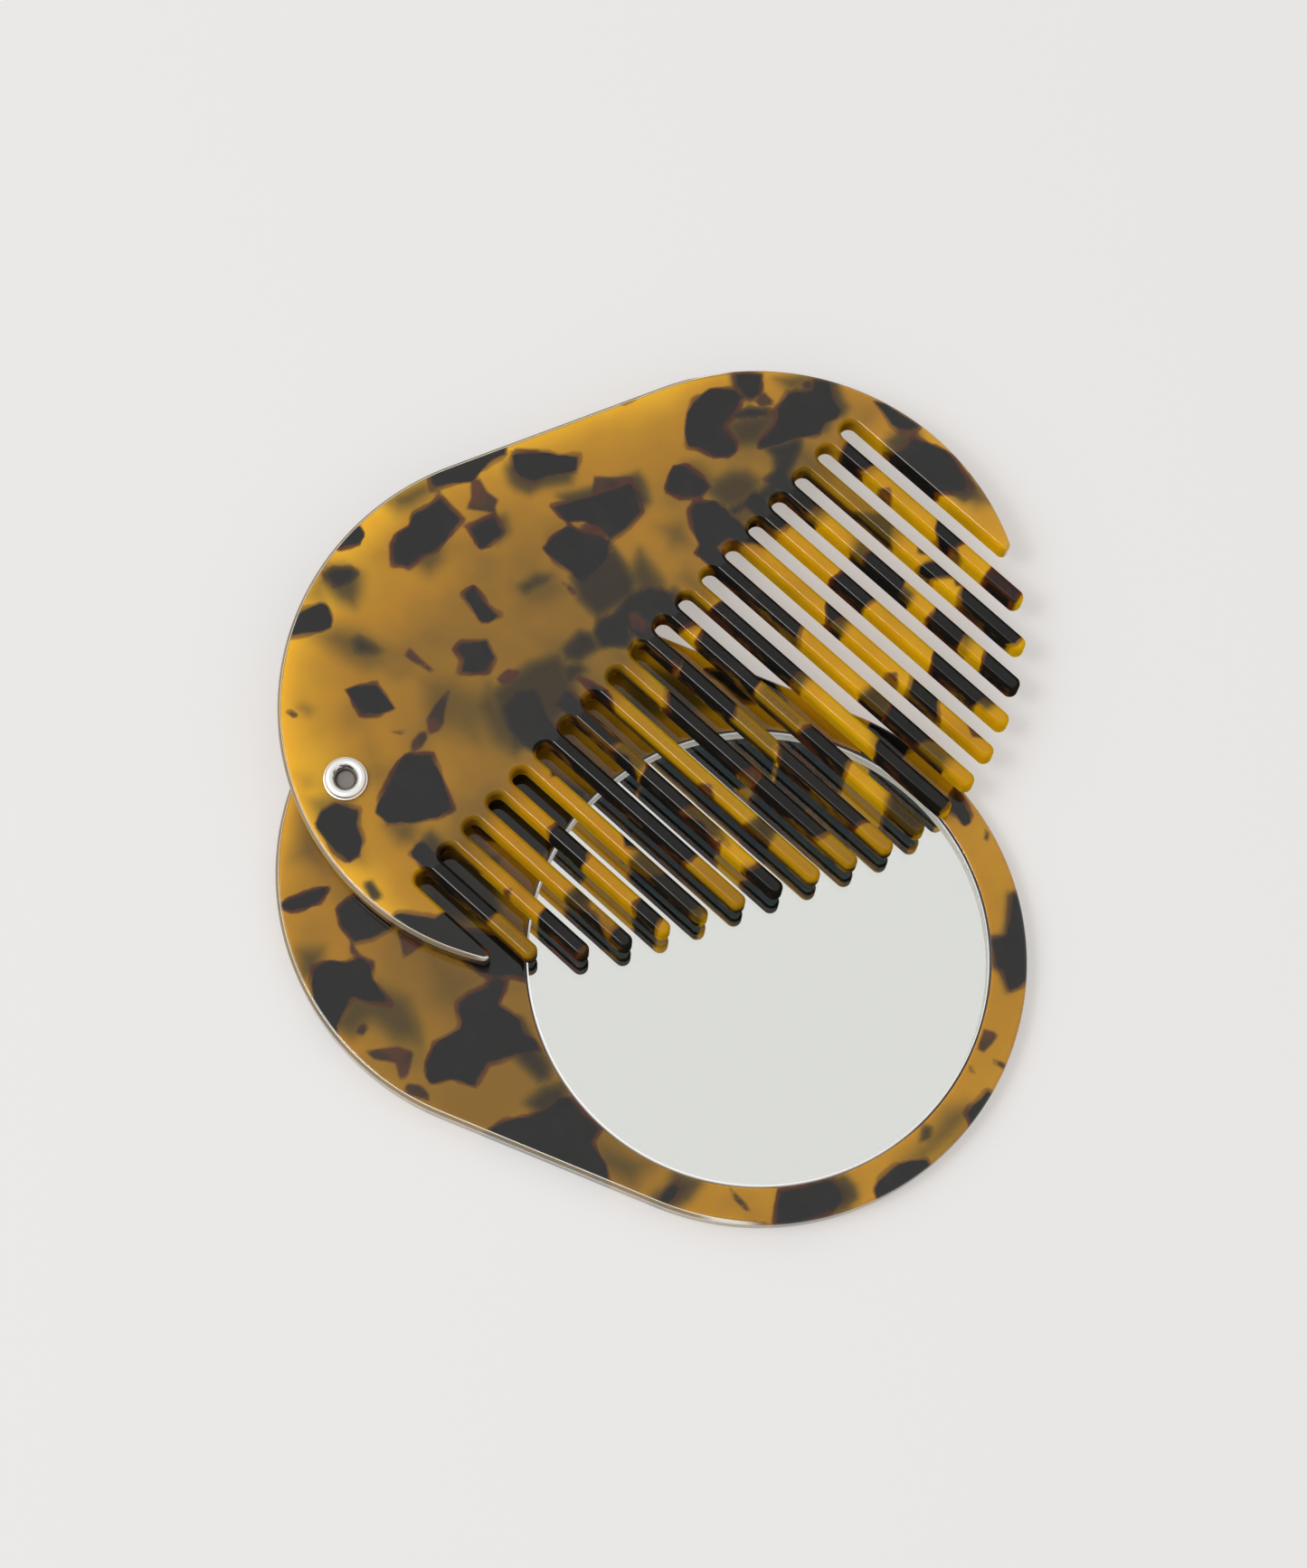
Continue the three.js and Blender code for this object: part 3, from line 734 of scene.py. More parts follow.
comb_deep_chips = [
    (0.35, [(-29.7, 22.4), (-28.6, 22.7), (-26.9, 22.1), (-26.1, 21.2), (-27.4, 20.3), (-29.1, 20.4)]),
    (1.6, [(-30.8, 21.7), (-29.4, 23.6), (-27.4, 22.8), (-25.8, 20.8), (-26.6, 18.9), (-27.9, 17.5),
           (-29.4, 18.9)]),
    (2.4, [(-33.4, 20.5), (-30, 24.4), (-28, 23.5), (-29.5, 20), (-31, 18.6)]),
    (0.8, [(-29.7, 14.4), (-28.6, 14.6), (-27.4, 13.1), (-26.9, 11.9), (-28, 11.8), (-29.8, 12.6)]),
    (2, [(-33.4, 16.4), (-30.5, 16.6), (-28, 15), (-26.4, 12.2), (-27.4, 10.6), (-29.1, 10.8), (-31.1, 12.2)]),
    (1.8, [(-20.8, 27.6), (-19.5, 28.4), (-15, 28.8), (-15, 26.5), (-18, 25.6), (-19.8, 26)]),
    (1.7, [(-20.8, 20.5), (-16, 21.5), (-17, 19), (-19, 18)]),
    (1.2, [(-10.4, 21.8), (-8.9, 21.4), (-9.2, 19.6), (-11, 18.8)]),
    (0.9, [(-10.6, 13.4), (-8.2, 14), (-6.6, 13.2), (-7.4, 12.6), (-10.2, 12.2)]),
    (2.2, [(-11, 13.6), (-6, 13.6), (-5.2, 10.6), (-8.4, 10), (-10.6, 11)]),
    (0.3, [(-17.2, 1.3), (-15.1, 2.6), (-12.8, 2.2), (-12.6, -0.8), (-12.8, -2.6), (-13.3, -3.7), (-15.8, -4.5),
           (-16.8, -3.2), (-17.4, -1.2)]),
    (1, [(-17.6, 3.4), (-12.6, 5), (-9, 4.8), (-8.6, 2), (-9, -1.2), (-13, -3), (-17.8, -4), (-18.2, 0)]),
    (0.7, [(-10.4, 1.4), (-9.1, 3.4), (-7.4, 3), (-7, 1.8), (-9.4, 0.8)]),
    (0.6, [(-8.7, 5.1), (-6.2, 6.3), (-4.9, 5.5), (-4.7, 3.6), (-6.2, 3.4), (-7.4, 3), (-8.7, 3.8)]),
    (0.3, [(-4.9, 5.5), (-3.7, 6.8), (-2, 6.8), (0.1, 8), (1.1, 8.2), (3, 8.2), (4.2, 7.2), (5.1, 6.3),
           (4.9, 5.7), (2.6, 4.7), (1.1, 3.8), (0.7, 5.1), (-1, 4.7), (-1, 3.4), (-2, 2.6), (-3.7, 3.4),
           (-4.7, 3.6)]),
    (0.8, [(-4.8, 12.4), (0.8, 13.8), (1.8, 9.6), (1, 7.6), (-3.8, 6.8), (-5, 9.6)]),
    (0.4, [(-4.4, 13.4), (0.4, 14.6), (0.2, 12.8), (-1.4, 12.2), (-3.8, 11.6)]),
    (1.3, [(1.2, 10.4), (3.4, 12.6), (4.6, 8), (3.2, 4.6), (0.8, 5.2)]),
    (0.3, [(18.6, 23.4), (20.7, 23.3), (22.8, 22.2), (22.4, 21.6), (20.5, 22), (18.6, 22.7)]),
    (1.1, [(17.4, 22.6), (20, 22.6), (23.4, 21.8), (22.6, 20.4), (21.3, 19.6), (20, 18.8), (17.6, 19.6)]),
    (0.5, [(14, 13.4), (17, 13.6), (19, 14.3), (20.5, 15.2), (21, 17), (20.5, 18.4), (24.8, 18), (24.2, 16.6),
           (23, 15.4), (21.6, 14), (20, 12.8), (18.6, 12.4), (16.5, 12.5), (14.2, 12.2)]),
    (1.2, [(12.6, 16), (14, 17), (16, 17.2), (17.8, 16.6), (18.6, 15), (17.8, 13.4), (15.6, 12.8),
           (13.6, 13.4)]),
    (1.5, [(13.2, 12.8), (17.4, 13), (18.4, 11.4), (15.4, 10.6), (13.4, 10)]),
    (1.2, [(33.2, 14.2), (35.4, 14.9), (37, 13.6), (35.6, 12.4), (33, 12.2)]),
    (0.9, [(37, 7), (40.4, 7.4), (40.6, 4.6), (38.6, 4.6)]),
    (2.8, [(-34, -1.5), (-33.4, 3), (-32, 4.6), (-30.6, 2.6), (-31, -1.6), (-32.6, -2.6)]),
    (1.5, [(24.6, 25.4), (28.4, 24.6), (28, 23.4), (25.6, 23.2)]),
    (1.5, [(33, 13.4), (34, 14.8), (36.4, 14.6), (36, 12.6)]),
    (1.6, [(38, 6.6), (41.2, 6), (41.4, 3.4), (39.6, 3.6)]),
    (2.4, [(-40.4, 2.4), (-39, 1.8), (-38.8, 0.4), (-40.4, 0.4)]),
    (2, [(-40.4, -0.4), (-35.6, -1.4), (-37, -9.4), (-40, -8)]),
    (1.8, [(-33.6, -6.2), (-30, -6.6), (-31, -9.4), (-33, -8.8)]),
    (1.5, [(-20, 2.6), (-17.4, 4.4), (-16.4, 0), (-17.6, -4.4), (-19.4, -2)]),
    (2.3, [(-24.4, 8), (-20.6, 6.6), (-17.6, 2), (-21, -2), (-25.6, 2)]),
    (2, [(6, 14.4), (9.2, 14), (9.2, 10.6), (6.6, 11.4)]),
    (0.5, [(-37.8, -11.6), (-37.2, -11.6), (-36.8, -13.4), (-37.6, -13.4)]),
]
# Dark stretches of the teeth: the tooth's number from the middle slot, where the stretch begins on the tooth's
# left and right edge and where it ends on them, counted from the plate's centre line, and its depth under the
# face. Where both marks on one edge are the same, the stretch is a wedge that runs in from the other edge.
tooth_chips = [
    (-8, 5, 5, -6.2, -6.3, 0), (-8, -6.2, -6.2, -13.5, -13.5, 2.2), (-7, 3, 3, -1.5, -2, 2.6),
    (-7, -10.2, -9.8, -15.8, -15.8, 0), (-7, -15.6, -15.6, -17.5, -17.5, 0.9),
    (-6, -10.6, -10.8, -13.4, -12.4, 0.8), (-6, -11.4, -14.2, -17, -14.2, 0), (-6, -13, -13, -17, -17, 2.2),
    (-6, -17, -16.8, -20, -20, 0), (-5, -4.8, -4.4, -9.5, -8.9, 0), (-5, -17.4, -16.6, -20.3, -19.6, 0),
    (-4, -11.5, -10.1, -11.5, -12.9, 0), (-4, -13, -12.6, -23, -23, 1.1), (-4, -15.6, -16.8, -21.6, -22.2, 0.4),
    (-3, 5, 5, -17.1, -17.7, 0), (-3, -17.4, -17.4, -25.5, -25.5, 2.4), (-2, 5, 5, -2.6, -3.4, 0.1),
    (-2, -2, -5, -7.4, -5, 0), (-2, -3, -3, -7.2, -7.2, 1.5), (-2, -7.5, -7.1, -13.2, -14, 0),
    (-2, -13, -16, -18.6, -16, 0), (-2, -13.2, -13.4, -18.4, -17.5, 1.2), (-2, -22.6, -23.6, -28, -28, 0),
    (-1, 5, 1.6, -0.4, 1.6, 0), (-1, 5, 5, -29.5, -29.5, 2.6), (-1, -19.4, -20, -22.8, -22.2, 1),
    (0, 5, 5, -3.4, -3, 2.4), (0, -5.2, -3.2, -15, -15.8, 0), (0, -17.2, -16.5, -25.8, -26.6, 0),
    (0, -25, -25, -31.5, -31.5, 2.2), (1, 5, 5, -1.8, -2.4, 0.2), (1, -2.8, -2, -10.4, -9.5, 0),
    (1, -10.2, -9.6, -17, -16.4, 1.8), (1, -17.6, -15.6, -28.2, -29, 0.2), (1, -28, -28, -33, -33, 2.4),
    (2, 5, 5, 0.6, -0.2, 0), (2, -2, -1.4, -10.6, -9.9, 0), (2, -10.4, -10, -17, -17, 1.8),
    (2, -16.8, -17.7, -23.6, -23, 0), (2, -29.8, -28.8, -33.5, -33.5, 0.9), (3, 5, 5, -0.6, -0.6, 2.2),
    (3, -0.5, -1.1, -12.4, -12.8, 0), (3, -24.8, -23.8, -34, -34, 0), (4, 5, 5, -1.4, -2.6, 0),
    (4, -0.8, -1.2, -4.2, -4.2, 0.5), (4, -3.6, -3.3, -10.1, -9, 0), (4, -19, -19.4, -22.4, -22.2, 1),
    (4, -22.6, -21.8, -27, -28.4, 0), (4, -26, -27, -31, -31, 1.5), (5, 5, 5, 2.6, -0.4, 0),
    (5, -11, -9, -11.1, -11.9, 0), (5, -11.2, -11.4, -12.9, -12.5, 1.2), (5, -22.6, -21.6, -27.2, -25.4, 0),
    (6, 5, 5, 0.4, -0.2, 0), (6, -7.9, -8.3, -12.6, -13, 0), (6, -22.8, -21.6, -28.8, -29.4, 0),
    (7, 5, 5, -0.8, -1.6, 0.3), (7, -0.6, -0.6, -2.4, -2.4, 1.6), (7, -7.6, -7.4, -9.6, -9.4, 1.4),
    (7, -9.5, -9.1, -14.5, -13.9, 0), (7, -18.8, -18.2, -23.1, -22.7, 0), (7, -26.6, -25.6, -34, -34, 0),
    (8, 5, 5, -10, -10, 2), (8, -4.4, -7, -10, -9, 1.2), (8, -14, -15.2, -15.8, -17.8, 0),
    (8, -20.4, -19, -26.8, -27.6, 0), (9, 0.5, 1.3, -1.6, -2.8, 0), (9, -13.9, -11.9, -15, -15.8, 0),
    (9, -20.6, -20.2, -24, -23.8, 0.15),
]
# Red-brown stretches, in the same way.
tooth_red_chips = [
    (-7, -5, -5.6, -6.2, -5.6, 0), (-4, -0.4, 0.2, -0.4, -1, 0), (-2, -17.8, -18.6, -19.4, -18.6, 0),
    (-1, -12.4, -13.6, -15.2, -13.6, 0), (0, -15, -15.8, -17.3, -16.4, 0), (1, -0.4, -1.6, -2.9, -1.6, 0),
    (5, -19, -20.2, -21.4, -20.2, 0), (5, -31, -29.2, -31, -32.4, 0), (7, -18.2, -19, -20, -19, 0),
    (8, -13, -12.2, -13, -14.2, 0), (8, -18.4, -17.4, -18.4, -19.4, 0), (9, -4.6, -5.8, -7, -5.8, 0),
    (9, -13.8, -15.2, -17.4, -15.2, 0), (9, -19.9, -19.8, -24.7, -24.4, 0),
]
stretch_half_share = 0.6
upper_bow, lower_bow, middle_bow = (-0.3, 0.5), (-0.5, 0.3), (-0.4, 0.4)
lean_cos, lean_sin = math.cos(line_lean), math.sin(line_lean)
draw = random.Random(5)
for chips, stretches in ((comb_chips, tooth_chips), (comb_red_chips, tooth_red_chips)):
    for number, left_begin, right_begin, left_end, right_end, depth in stretches:
        tooth_x = (number - 0.5) * slot_pitch
        half = tooth_width * stretch_half_share
        upper, lower = draw.uniform(*upper_bow), draw.uniform(*lower_bow)
        bend = draw.uniform(*middle_bow)
        corners = [(tooth_x - half, left_begin), (tooth_x + bend, (left_begin + right_begin) / 2 + upper),
                   (tooth_x + half, right_begin), (tooth_x + half, right_end),
                   (tooth_x + bend, (left_end + right_end) / 2 + lower), (tooth_x - half, left_end)]
        if left_begin == left_end:
            corners = [(tooth_x, left_end), corners[2], corners[3]]
        elif right_begin == right_end:
            corners = [(tooth_x, right_end), corners[5], corners[0]]
        corners = [(lean_cos * x - lean_sin * y, lean_sin * x + lean_cos * y) for x, y in corners]
        if depth:
            comb_deep_chips.append((depth, corners))
        else:
            chips.append(corners)


def levelled(points):
    """Points drawn with the slots running down, turned so that the plate's long axis is level."""
    x, y = points[:, 0], points[:, 1]
    return np.stack([lean_cos * x - lean_sin * y, lean_sin * x + lean_cos * y, points[:, 2]], 1)


comb_pale_side = (-0.929, 0.371)
# Painted light: the teeth are painted glowing, less on the teeth to the left.
tooth_glow = 0.58
tooth_glow_fade = (line_rise - 3, line_rise + 1)
left_tooth_share = 0.65


def comb_fields(points):
    """The comb's chips, and the painted glow of its thin teeth, as light through them, weaker towards the left."""
    dark, red, below, glow = chip_fields(levelled(points), comb_chips, comb_red_chips, comb_deep_chips,
                                         comb_pale_side)
    along_teeth = np.interp(points[:, 1], tooth_glow_fade, (1, 0))
    along_teeth *= np.interp(points[:, 0], (-outermost, 0), (left_tooth_share, 1))
    outer_wall = ((abs(points[:, 0]) > outermost) | (along_teeth == 0)) & (glow < 0)
    glow = np.where(outer_wall, glow, np.maximum(glow, tooth_glow * along_teeth))
    return dark, red, below, glow


def swung_open(points):
    """Points about the plate's centre, put on the pivot and swung open."""
    x, y, z = levelled(points).T
    x = x - pivot_x
    cos, sin = math.cos(open_angle), math.sin(open_angle)
    return np.stack([pivot.x + cos * x - sin * y, sin * x + cos * y, z + comb_underside], 1)


comb_shell = shell_object("comb_shell", comb, comb_fields, swung_open)
comb_light_path = 2.6 * mm
# The last three are the slots' walls, the underside, which has a painted blue sheen, and the tumbled tops of the
# teeth, which are rounder than the flat body and so show less of the sky.
for name, settings in (
    ("comb_acetate", {}), ("sawn_acetate", {"sawn": True}), ("sheened_underside_acetate", {"sheen_share": 0.22, "shine": 0.0}),
    ("tumbled_acetate", {"shine": 0.28}),
):
    comb_shell.data.materials.append(tortoiseshell_material(name, comb_light_path, **settings))
comb_points = np.array(comb.points)
centres = np.array([comb_points[list(face)].mean(0) for face in comb.faces])
across, along, above = abs(centres[:, 0]), centres[:, 1], centres[:, 2]
sawn = (across < outermost + horn_tip_radius / 2) & (along < line_rise + slot_width)
sawn &= abs(above - sheet_thickness / 2) < sheet_thickness / 2 - polished_drop
sheened_underside = above < polished_drop * 2
tumbled = (across < outermost) & (along < line_rise) & (above > sheet_thickness / 2)
finish = np.where(sheened_underside, 2, np.where(sawn, 1, tumbled * 3))
comb_shell.data.polygons.foreach_set("material_index", finish.astype(np.int32))
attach(comb_shell, "comb")
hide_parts("comb_plate")


# Mirror glass
# A disc of clear float glass, 1.9 mm thick, with its upper edge ground to a narrow bevel.
# It is dropped into the pocket, and stands a tenth of a millimetre below the plate's face.

glass_low, glass_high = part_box("mirror_glass")
mirror_x = (glass_low.x + glass_high.x) / 2 / mm
glass_radius = (glass_high.x - glass_low.x) / 2 / mm
glass_bottom, glass_top = glass_low.z / mm, glass_high.z / mm
glass_bevel = 0.16
disc_steps = 256
disc_sharp_corner = 20
weld = 1e-6


def new_material(name, **inputs):
    """A Principled material with constants on its sockets."""
    material = bpy.data.materials.new(name)
    material.use_nodes = True
    surface = material.node_tree.nodes["Principled BSDF"]
    for key, value in inputs.items():
        surface.inputs[key.replace("_", " ")].default_value = value
    return material


turned = bpy.data.node_groups.new("turned", "GeometryNodeTree")
for socket_name, kind, direction in (
    ("Profile", "Geometry", "INPUT"), ("Steps", "Int", "INPUT"), ("Axis", "Vector", "INPUT"),
    ("Material", "Material", "INPUT"), ("Result", "Geometry", "OUTPUT"),
):
    turned.interface.new_socket(socket_name, in_out=direction, socket_type="NodeSocket" + kind)
given = turned.nodes.new("NodeGroupInput").outputs
columns = add_math(turned, "ADD", given["Steps"], 1.0)
size = add_node(turned, "GeometryNodeAttributeDomainSize", {"component": "MESH"})
turned.links.new(given["Profile"], size.inputs["Geometry"])
grid = add_node(turned, "GeometryNodeMeshGrid", i0=1.0, i1=1.0, i2=size.outputs["Point Count"], i3=columns)
index = turned.nodes.new("GeometryNodeInputIndex").outputs[0]
row = add_math(turned, "FLOOR", add_math(turned, "DIVIDE", add_math(turned, "ADD", index, 0.5), columns))
column = add_math(turned, "SUBTRACT", index, add_math(turned, "MULTIPLY", row, columns))
sample = add_node(turned, "GeometryNodeSampleIndex", {"data_type": "FLOAT_VECTOR", "domain": "POINT"},
                  Geometry=given["Profile"], Index=row)
turned.links.new(turned.nodes.new("GeometryNodeInputPosition").outputs[0], sample.inputs["Value"])
angle = add_math(turned, "MULTIPLY", add_math(turned, "DIVIDE", column, given["Steps"]), 2 * math.pi)
spin = add_node(turned, "ShaderNodeVectorRotate", {"rotation_type": "Z_AXIS"}, Vector=sample.outputs[0],
                Angle=angle)
move = add_node(turned, "ShaderNodeVectorMath", {"operation": "ADD"}, i0=spin.outputs[0], i1=given["Axis"])
put = add_node(turned, "GeometryNodeSetPosition", Geometry=grid.outputs["Mesh"], Position=move.outputs[0])
merge = add_node(turned, "GeometryNodeMergeByDistance", Geometry=put.outputs[0], Distance=weld)
real = add_node(turned, "GeometryNodeRealizeInstances", Geometry=merge.outputs[0])
paint = add_node(turned, "GeometryNodeSetMaterial", Geometry=real.outputs[0], Material=given["Material"])
turned.links.new(paint.outputs[0], turned.nodes.new("NodeGroupOutput").inputs["Result"])


def turned_piece(name, profile, axis, steps, material, sharp=sharp_corner):
    """A solid turned about an upright axis from (radius, height) points in millimetres."""
    mesh = bpy.data.meshes.new(name)
    edges = [(i, i + 1) for i in range(len(profile) - 1)]
    mesh.from_pydata([(r * mm, 0, z * mm) for r, z in profile], edges, [])
    piece = bpy.data.objects.new(name, mesh)
    bpy.context.scene.collection.objects.link(piece)
    modifier = piece.modifiers.new("turned", "NODES")
    modifier.node_group = turned
    sockets = {item.name: item.identifier for item in turned.interface.items_tree
               if item.in_out == "INPUT"}
    modifier[sockets["Steps"]] = steps
    modifier[sockets["Axis"]] = (axis[0] * mm, axis[1] * mm, 0)
    modifier[sockets["Material"]] = material
    made = piece.evaluated_get(bpy.context.evaluated_depsgraph_get())
    result = bpy.data.meshes.new_from_object(made)
    piece.modifiers.clear()
    piece.data = result
    result.materials.clear()
    result.materials.append(material)
    result.polygons.foreach_set("material_index", [0] * len(result.polygons))
    work = bmesh.new()
    work.from_mesh(result)
    bmesh.ops.recalc_face_normals(work, faces=work.faces)
    work.to_mesh(result)
    work.free()
    result.polygons.foreach_set("use_smooth", [True] * len(result.polygons))
    result.set_sharp_from_angle(angle=math.radians(sharp))
    return piece


glass_material = new_material("clear_glass", Base_Color=(0.985, 0.995, 0.985, 1), Roughness=0.0, IOR=1.52,
                              Transmission_Weight=1.0)
glass = turned_piece(
    "mirror_glass_disc",
    [(0, glass_bottom), (glass_radius, glass_bottom),
     (glass_radius, glass_top - glass_bevel), (glass_radius - glass_bevel, glass_top), (0, glass_top)],
    (mirror_x, 0), disc_steps, glass_material, disc_sharp_corner,
)
# A faint glow stands in for the light that the glass carries out to its ground edge.
ground_edge = new_material("ground_glass_edge", Base_Color=(0.93, 0.91, 0.86, 1), Roughness=0.7,
                           Specular_IOR_Level=0.0, Emission_Color=(0.9, 0.88, 0.82, 1),
                           Emission_Strength=0.3)
glass.data.materials.append(ground_edge)
for face in glass.data.polygons:
    if math.hypot(face.center.x / mm - mirror_x, face.center.y / mm) > glass_radius - glass_bevel:
        face.material_index = 1
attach(glass, "mirror_half")
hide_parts("mirror_glass")


# Mirror silvering
# The silver and its paint on the back of the glass, which end a little inside the glass's edge.
# It is a second-surface mirror, so what it shows lies a glass thickness deeper.

silver_low, silver_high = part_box("mirror_silvering")
silver_inset = 0.02
silver_radius = glass_radius - silver_inset
silver_clearance = 0.01
silver_material = new_material("mirror_silver", Base_Color=(0.855, 0.85, 0.825, 1), Metallic=1.0,
                               Roughness=0.0)
silvering = turned_piece(
    "mirror_silver_coat",
    [(0, silver_low.z / mm), (silver_radius, silver_low.z / mm),
     (silver_radius, silver_high.z / mm - silver_clearance), (0, silver_high.z / mm - silver_clearance)],
    (mirror_x, 0), disc_steps, silver_material,
)
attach(silvering, "mirror_half")
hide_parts("mirror_silvering")


# Adhesive disc
# Thin white foam tape, sticky on both sides, between the back of the mirror and the pocket's floor.
# It alone holds the glass in, and nothing of it shows once the glass is down.

tape_low, tape_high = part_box("adhesive_disc")
tape_radius = (tape_high.x - tape_low.x) / 2 / mm
tape_steps = 128
tape_material = new_material("foam_tape_white", Base_Color=(0.75, 0.75, 0.73, 1), Roughness=0.8)
tape = turned_piece(
    "foam_tape_disc",
    [(0, tape_low.z / mm), (tape_radius, tape_low.z / mm), (tape_radius, tape_high.z / mm),
     (0, tape_high.z / mm)],
    (mirror_x, 0), tape_steps, tape_material,
)
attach(tape, "mirror_half")
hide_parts("adhesive_disc")


# Pivot rivet
# A nickel-plated brass rivet that both plates turn on. Its flat head sits in a seat under the mirror plate, and
# its hollow end stands above the comb and is rolled outwards over a thin ring.

rivet_low, rivet_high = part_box("pivot_rivet")
head_radius = (rivet_high.x - rivet_low.x) / 2 / mm
head_bottom = rivet_low.z / mm
head_thickness = 0.7
shank_radius = 1.5
bore_radius = 1.15
roll_height = 0.6
roll_top = rivet_high.z / mm
roll_base = roll_top - roll_height
bore_depth = 0.7
bore_bottom = roll_base - bore_depth
bore_draft = 0.02
groove_width = 0.14
groove_depth = 0.3
roll_outer = 2.27
roll_crown = 1.8
roll_lip = 0.3
roll_dip = 0.2
crown_drop = 0.06
head_bevel = 0.12
rivet_steps = 96
nickel = new_material("nickel", Base_Color=(0.88, 0.87, 0.84, 1), Metallic=1.0, Roughness=0.3)
roll = [(roll_outer - roll_lip * (1 - math.cos(a)), roll_base + (roll_height - crown_drop) * math.sin(a))
        for a in np.linspace(0, math.pi / 2, 9)]
roll += [(bore_radius + (roll_crown - bore_radius) * (1 - math.sin(a)),
          roll_base - roll_dip + (roll_height + roll_dip) * math.cos(a))
         for a in np.linspace(0, math.pi / 2, 13)]
rivet = turned_piece(
    "rolled_rivet",
    [(0, head_bottom), (head_radius - head_bevel, head_bottom), (head_radius, head_bottom + head_bevel),
     (head_radius, head_bottom + head_thickness), (shank_radius, head_bottom + head_thickness),
     (shank_radius, roll_base)] + roll,
    (pivot.x, pivot.y), rivet_steps, nickel,
)
# The roll's inner lip is painted dark on one side, in mottled patches, as painted shade.
lip_outer = 1.5
lip_pale = (0.80, 0.78, 0.74, 1)
lip_shade = (0.10, 0.09, 0.08, 1)
lip_mottle_scale = 2600.0
lip_shade_side = (-0.91, 0.38)
lip_shade_start = 0.1
lip = new_material("shaded_lip", Metallic=1.0, Roughness=0.35)
lip_tree = lip.node_tree
lip_place = add_node(lip_tree, "ShaderNodeTexCoord").outputs["Object"]
lip_mottles = add_node(lip_tree, "ShaderNodeTexNoise", Vector=lip_place, Scale=lip_mottle_scale, Detail=2.0)
lip_color = add_mix(lip_tree, add_step(lip_tree, lip_mottles.outputs["Fac"], 0.5, 0.62), lip_pale, lip_shade)
lip_tree.links.new(lip_color, lip_tree.nodes["Principled BSDF"].inputs["Base Color"])
rivet.data.materials.append(lip)
for face in rivet.data.polygons:
    x, y = face.center.x / mm - pivot.x, face.center.y / mm - pivot.y
    on_lip = bore_radius < math.hypot(x, y) < lip_outer and face.center.z / mm > roll_base - roll_dip
    if on_lip and x * lip_shade_side[0] + y * lip_shade_side[1] > lip_shade_start:
        face.material_index = 1
# The bore is painted dark, partly as the shade inside the rivet's hollow end.
bore_metal = new_material("bore_metal", Base_Color=(0.22, 0.195, 0.175, 1), Metallic=0.5, Roughness=0.6)
bore = turned_piece(
    "rivet_bore",
    [(bore_radius, roll_base - roll_dip), (bore_radius - bore_draft, bore_bottom - groove_depth),
     (bore_radius - bore_draft - groove_width, bore_bottom - groove_depth),
     (bore_radius - 2 * bore_draft - groove_width, bore_bottom), (0, bore_bottom)],
    (pivot.x, pivot.y), rivet_steps, bore_metal,
)
for piece in (rivet, bore):
    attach(piece, "mirror_half")
    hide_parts("pivot_rivet")


# Clinch washer
# The thin nickel-plated brass ring under the rolled end, which spreads its pull over the comb.
# It is stamped with a narrow bevel, and is slipped over the shank before the end is rolled.

ring_low, ring_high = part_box("clinch_washer")
ring_radius = (ring_high.x - ring_low.x) / 2 / mm
ring_clearance = 0.05
ring_bore = shank_radius + ring_clearance
ring_bevel = 0.08
ring_bottom, ring_top = ring_low.z / mm, ring_high.z / mm
clinch = turned_piece(
    "clinch_ring",
    [(ring_bore, ring_bottom), (ring_radius - ring_bevel, ring_bottom), (ring_radius, ring_bottom + ring_bevel),
     (ring_radius, ring_top - ring_bevel),
     (ring_radius - ring_bevel * eased_share, ring_top - ring_bevel * eased_share),
     (ring_radius - ring_bevel, ring_top), (ring_bore, ring_top), (ring_bore, ring_bottom)],
    (pivot.x, pivot.y), rivet_steps, nickel,
)
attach(clinch, "mirror_half")
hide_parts("clinch_washer")


# Spacer washer
# A milky nylon washer, punched from thin sheet and threaded on the shank between the plates.
# It keeps them half a millimetre apart and gives the hinge its drag.

spacer_low, spacer_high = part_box("spacer_washer")
spacer_radius = (spacer_high.x - spacer_low.x) / 2 / mm
spacer_clearance = 0.1
spacer_bore = shank_radius + spacer_clearance
nylon = new_material("milky_nylon", Base_Color=(0.72, 0.70, 0.64, 1), Roughness=0.4,
                     Subsurface_Weight=0.3, Subsurface_Scale=0.001)
spacer = turned_piece(
    "nylon_spacer",
    [(spacer_bore, spacer_low.z / mm), (spacer_radius, spacer_low.z / mm),
     (spacer_radius, spacer_high.z / mm), (spacer_bore, spacer_high.z / mm), (spacer_bore, spacer_low.z / mm)],
    (pivot.x, pivot.y), rivet_steps, nylon,
)
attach(spacer, "mirror_half")
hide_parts("spacer_washer")


# Floor, light and camera
# White paper, lit by a big window on the left and the pale ceiling of a room that is darker low down.
# The paper lies a hair below the part, so that no two faces lie in one plane.

floor_reach = 6.0
floor_drop = 0.03 * mm
floor_corners = [(x * floor_reach, y * floor_reach, -floor_drop)
                 for x, y in ((-1, -1), (1, -1), (1, 1), (-1, 1))]
floor_mesh = bpy.data.meshes.new("floor")
floor_mesh.from_pydata(floor_corners, [], [(0, 1, 2, 3)])
floor = bpy.data.objects.new("floor", floor_mesh)
bpy.context.scene.collection.objects.link(floor)


def add_seen(tree):
    """1 where the camera sees the surface itself, in metal or through glass, and 0 where it only gives light."""
    path = add_node(tree, "ShaderNodeLightPath").outputs
    gloss = add_math(tree, "MAXIMUM", path["Is Glossy Ray"], path["Is Transmission Ray"])
    return add_math(tree, "MAXIMUM", path["Is Camera Ray"], gloss)
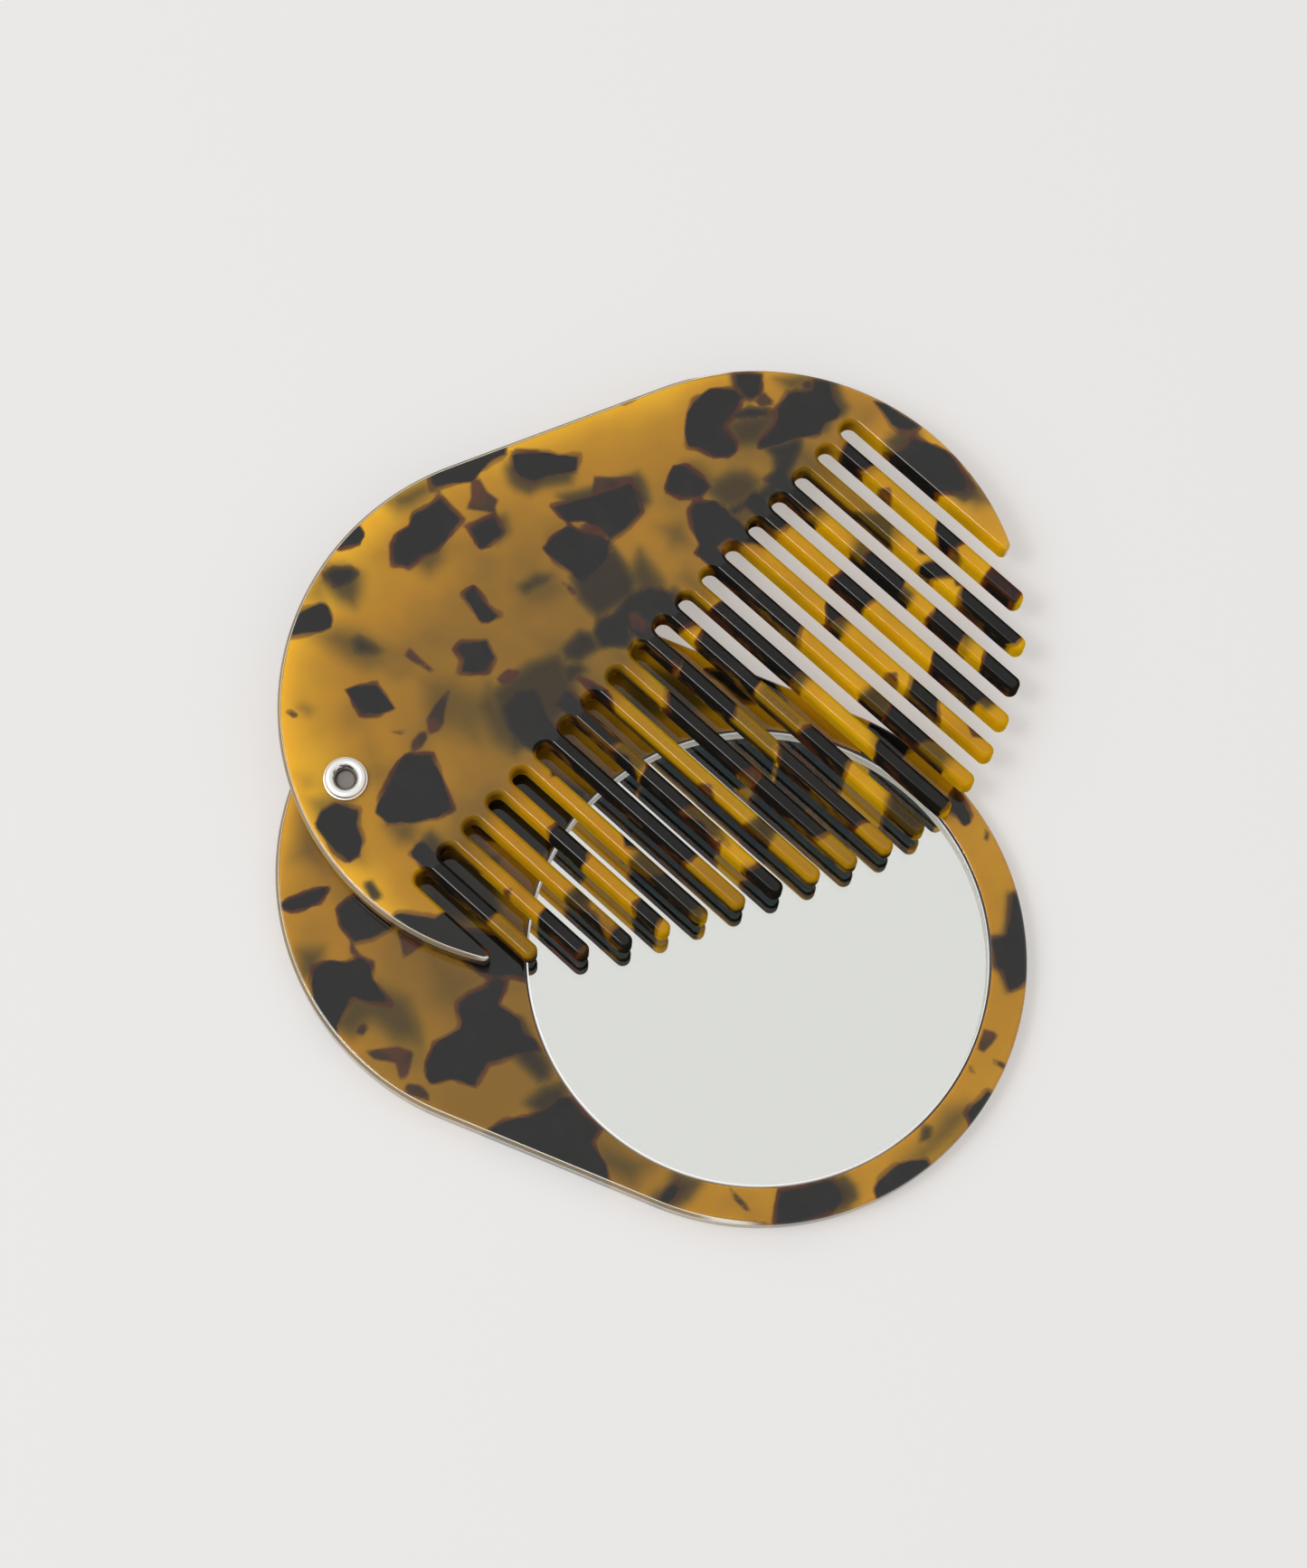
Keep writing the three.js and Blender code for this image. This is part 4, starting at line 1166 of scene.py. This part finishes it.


# Painted light: to the camera, in reflections and through glass, the paper partly shows a warm glow of its own. It
# lifts the paper's shadows and paints them warm, as light through the amber would, and the paper's own colour is
# cool so that the open paper stays white.
paper_lift = 0.45
floor_material = new_material("floor_paper", Base_Color=(0.785, 0.825, 0.865, 1), Roughness=0.9,
                              Specular_IOR_Level=0.0)
paper = floor_material.node_tree
lift = add_node(paper, "ShaderNodeEmission", Color=(0.93, 0.855, 0.79, 1))
share = add_math(paper, "MULTIPLY", add_seen(paper), paper_lift)
blend = add_node(paper, "ShaderNodeMixShader", i0=share, i1=paper.nodes["Principled BSDF"].outputs[0],
                 i2=lift.outputs[0])
paper.links.new(blend.outputs[0], paper.nodes["Material Output"].inputs["Surface"])
floor_mesh.materials.append(floor_material)

world = bpy.data.worlds.new("studio")
bpy.context.scene.world = world
world.use_nodes = True
sky = world.node_tree
height = add_node(sky, "ShaderNodeSeparateXYZ",
                  Vector=add_node(sky, "ShaderNodeTexCoord").outputs["Generated"]).outputs["Z"]
ceiling = (0.78, 0.78, 0.78, 1)
low_down = (0.12, 0.12, 0.12, 1)
backdrop = (0.85, 0.85, 0.85, 1)
room = add_mix(sky, add_step(sky, height, 0.2, 0.8), low_down, ceiling)
seen = add_mix(sky, add_seen(sky), room, backdrop)
sky.links.new(seen, sky.nodes["Background"].inputs["Color"])

lamp_distance = 1.2
lamp_gloss = 0.5
camera_turn = Euler((math.radians(13.607), math.radians(-1.437), math.radians(22.342)))
over_mirror = bpy.data.collections.new("over_mirror")
over_mirror.objects.link(comb_shell)


def add_lamp(name, size, energy, sideways, upwards, mirrored=False):
    """A round soft lamp, aimed at the object from that many degrees left and up in the photograph. A mirrored one
    stands for the light that the mirror throws back up at the underside of the comb."""
    data = bpy.data.lights.new(name, "AREA")
    data.shape = "DISK"
    data.size = size
    data.energy = energy
    data.specular_factor = lamp_gloss
    lamp = bpy.data.objects.new(name, data)
    bpy.context.scene.collection.objects.link(lamp)
    aim = Vector((math.tan(math.radians(-sideways)), math.tan(math.radians(upwards)), 1)).normalized()
    aim.rotate(Euler((0, 0, camera_turn.z)))
    if mirrored:
        aim.z = -aim.z
        data.specular_factor = 0
        lamp.light_linking.receiver_collection = over_mirror
        lamp.light_linking.blocker_collection = over_mirror
    lamp.location = aim * lamp_distance
    lamp.rotation_euler = aim.to_track_quat("Z", "Y").to_euler()


add_lamp("softbox", 0.7, 3.4, 31, -3)
add_lamp("window", 0.3, 2.2, 25, -7)
add_lamp("thrown_back", 0.7, 5, 28, -5, mirrored=True)

bpy.context.scene.view_settings.view_transform = "Standard"
camera_data = bpy.data.cameras.new("camera")
camera = bpy.data.objects.new("camera", camera_data)
bpy.context.scene.collection.objects.link(camera)
photo_height = 1734
focal_pixels = 4545.7
lens_place = Vector((33.346, 1.267, 450))
camera_data.sensor_width = 36
camera_data.lens = camera_data.sensor_width * focal_pixels / photo_height
camera_data.clip_start = 0.01
camera_data.clip_end = 50
camera.rotation_euler = camera_turn
camera.location = (Vector((pivot.x, 0, 0)) + camera_turn.to_matrix() @ lens_place) * mm
bpy.context.scene.camera = camera
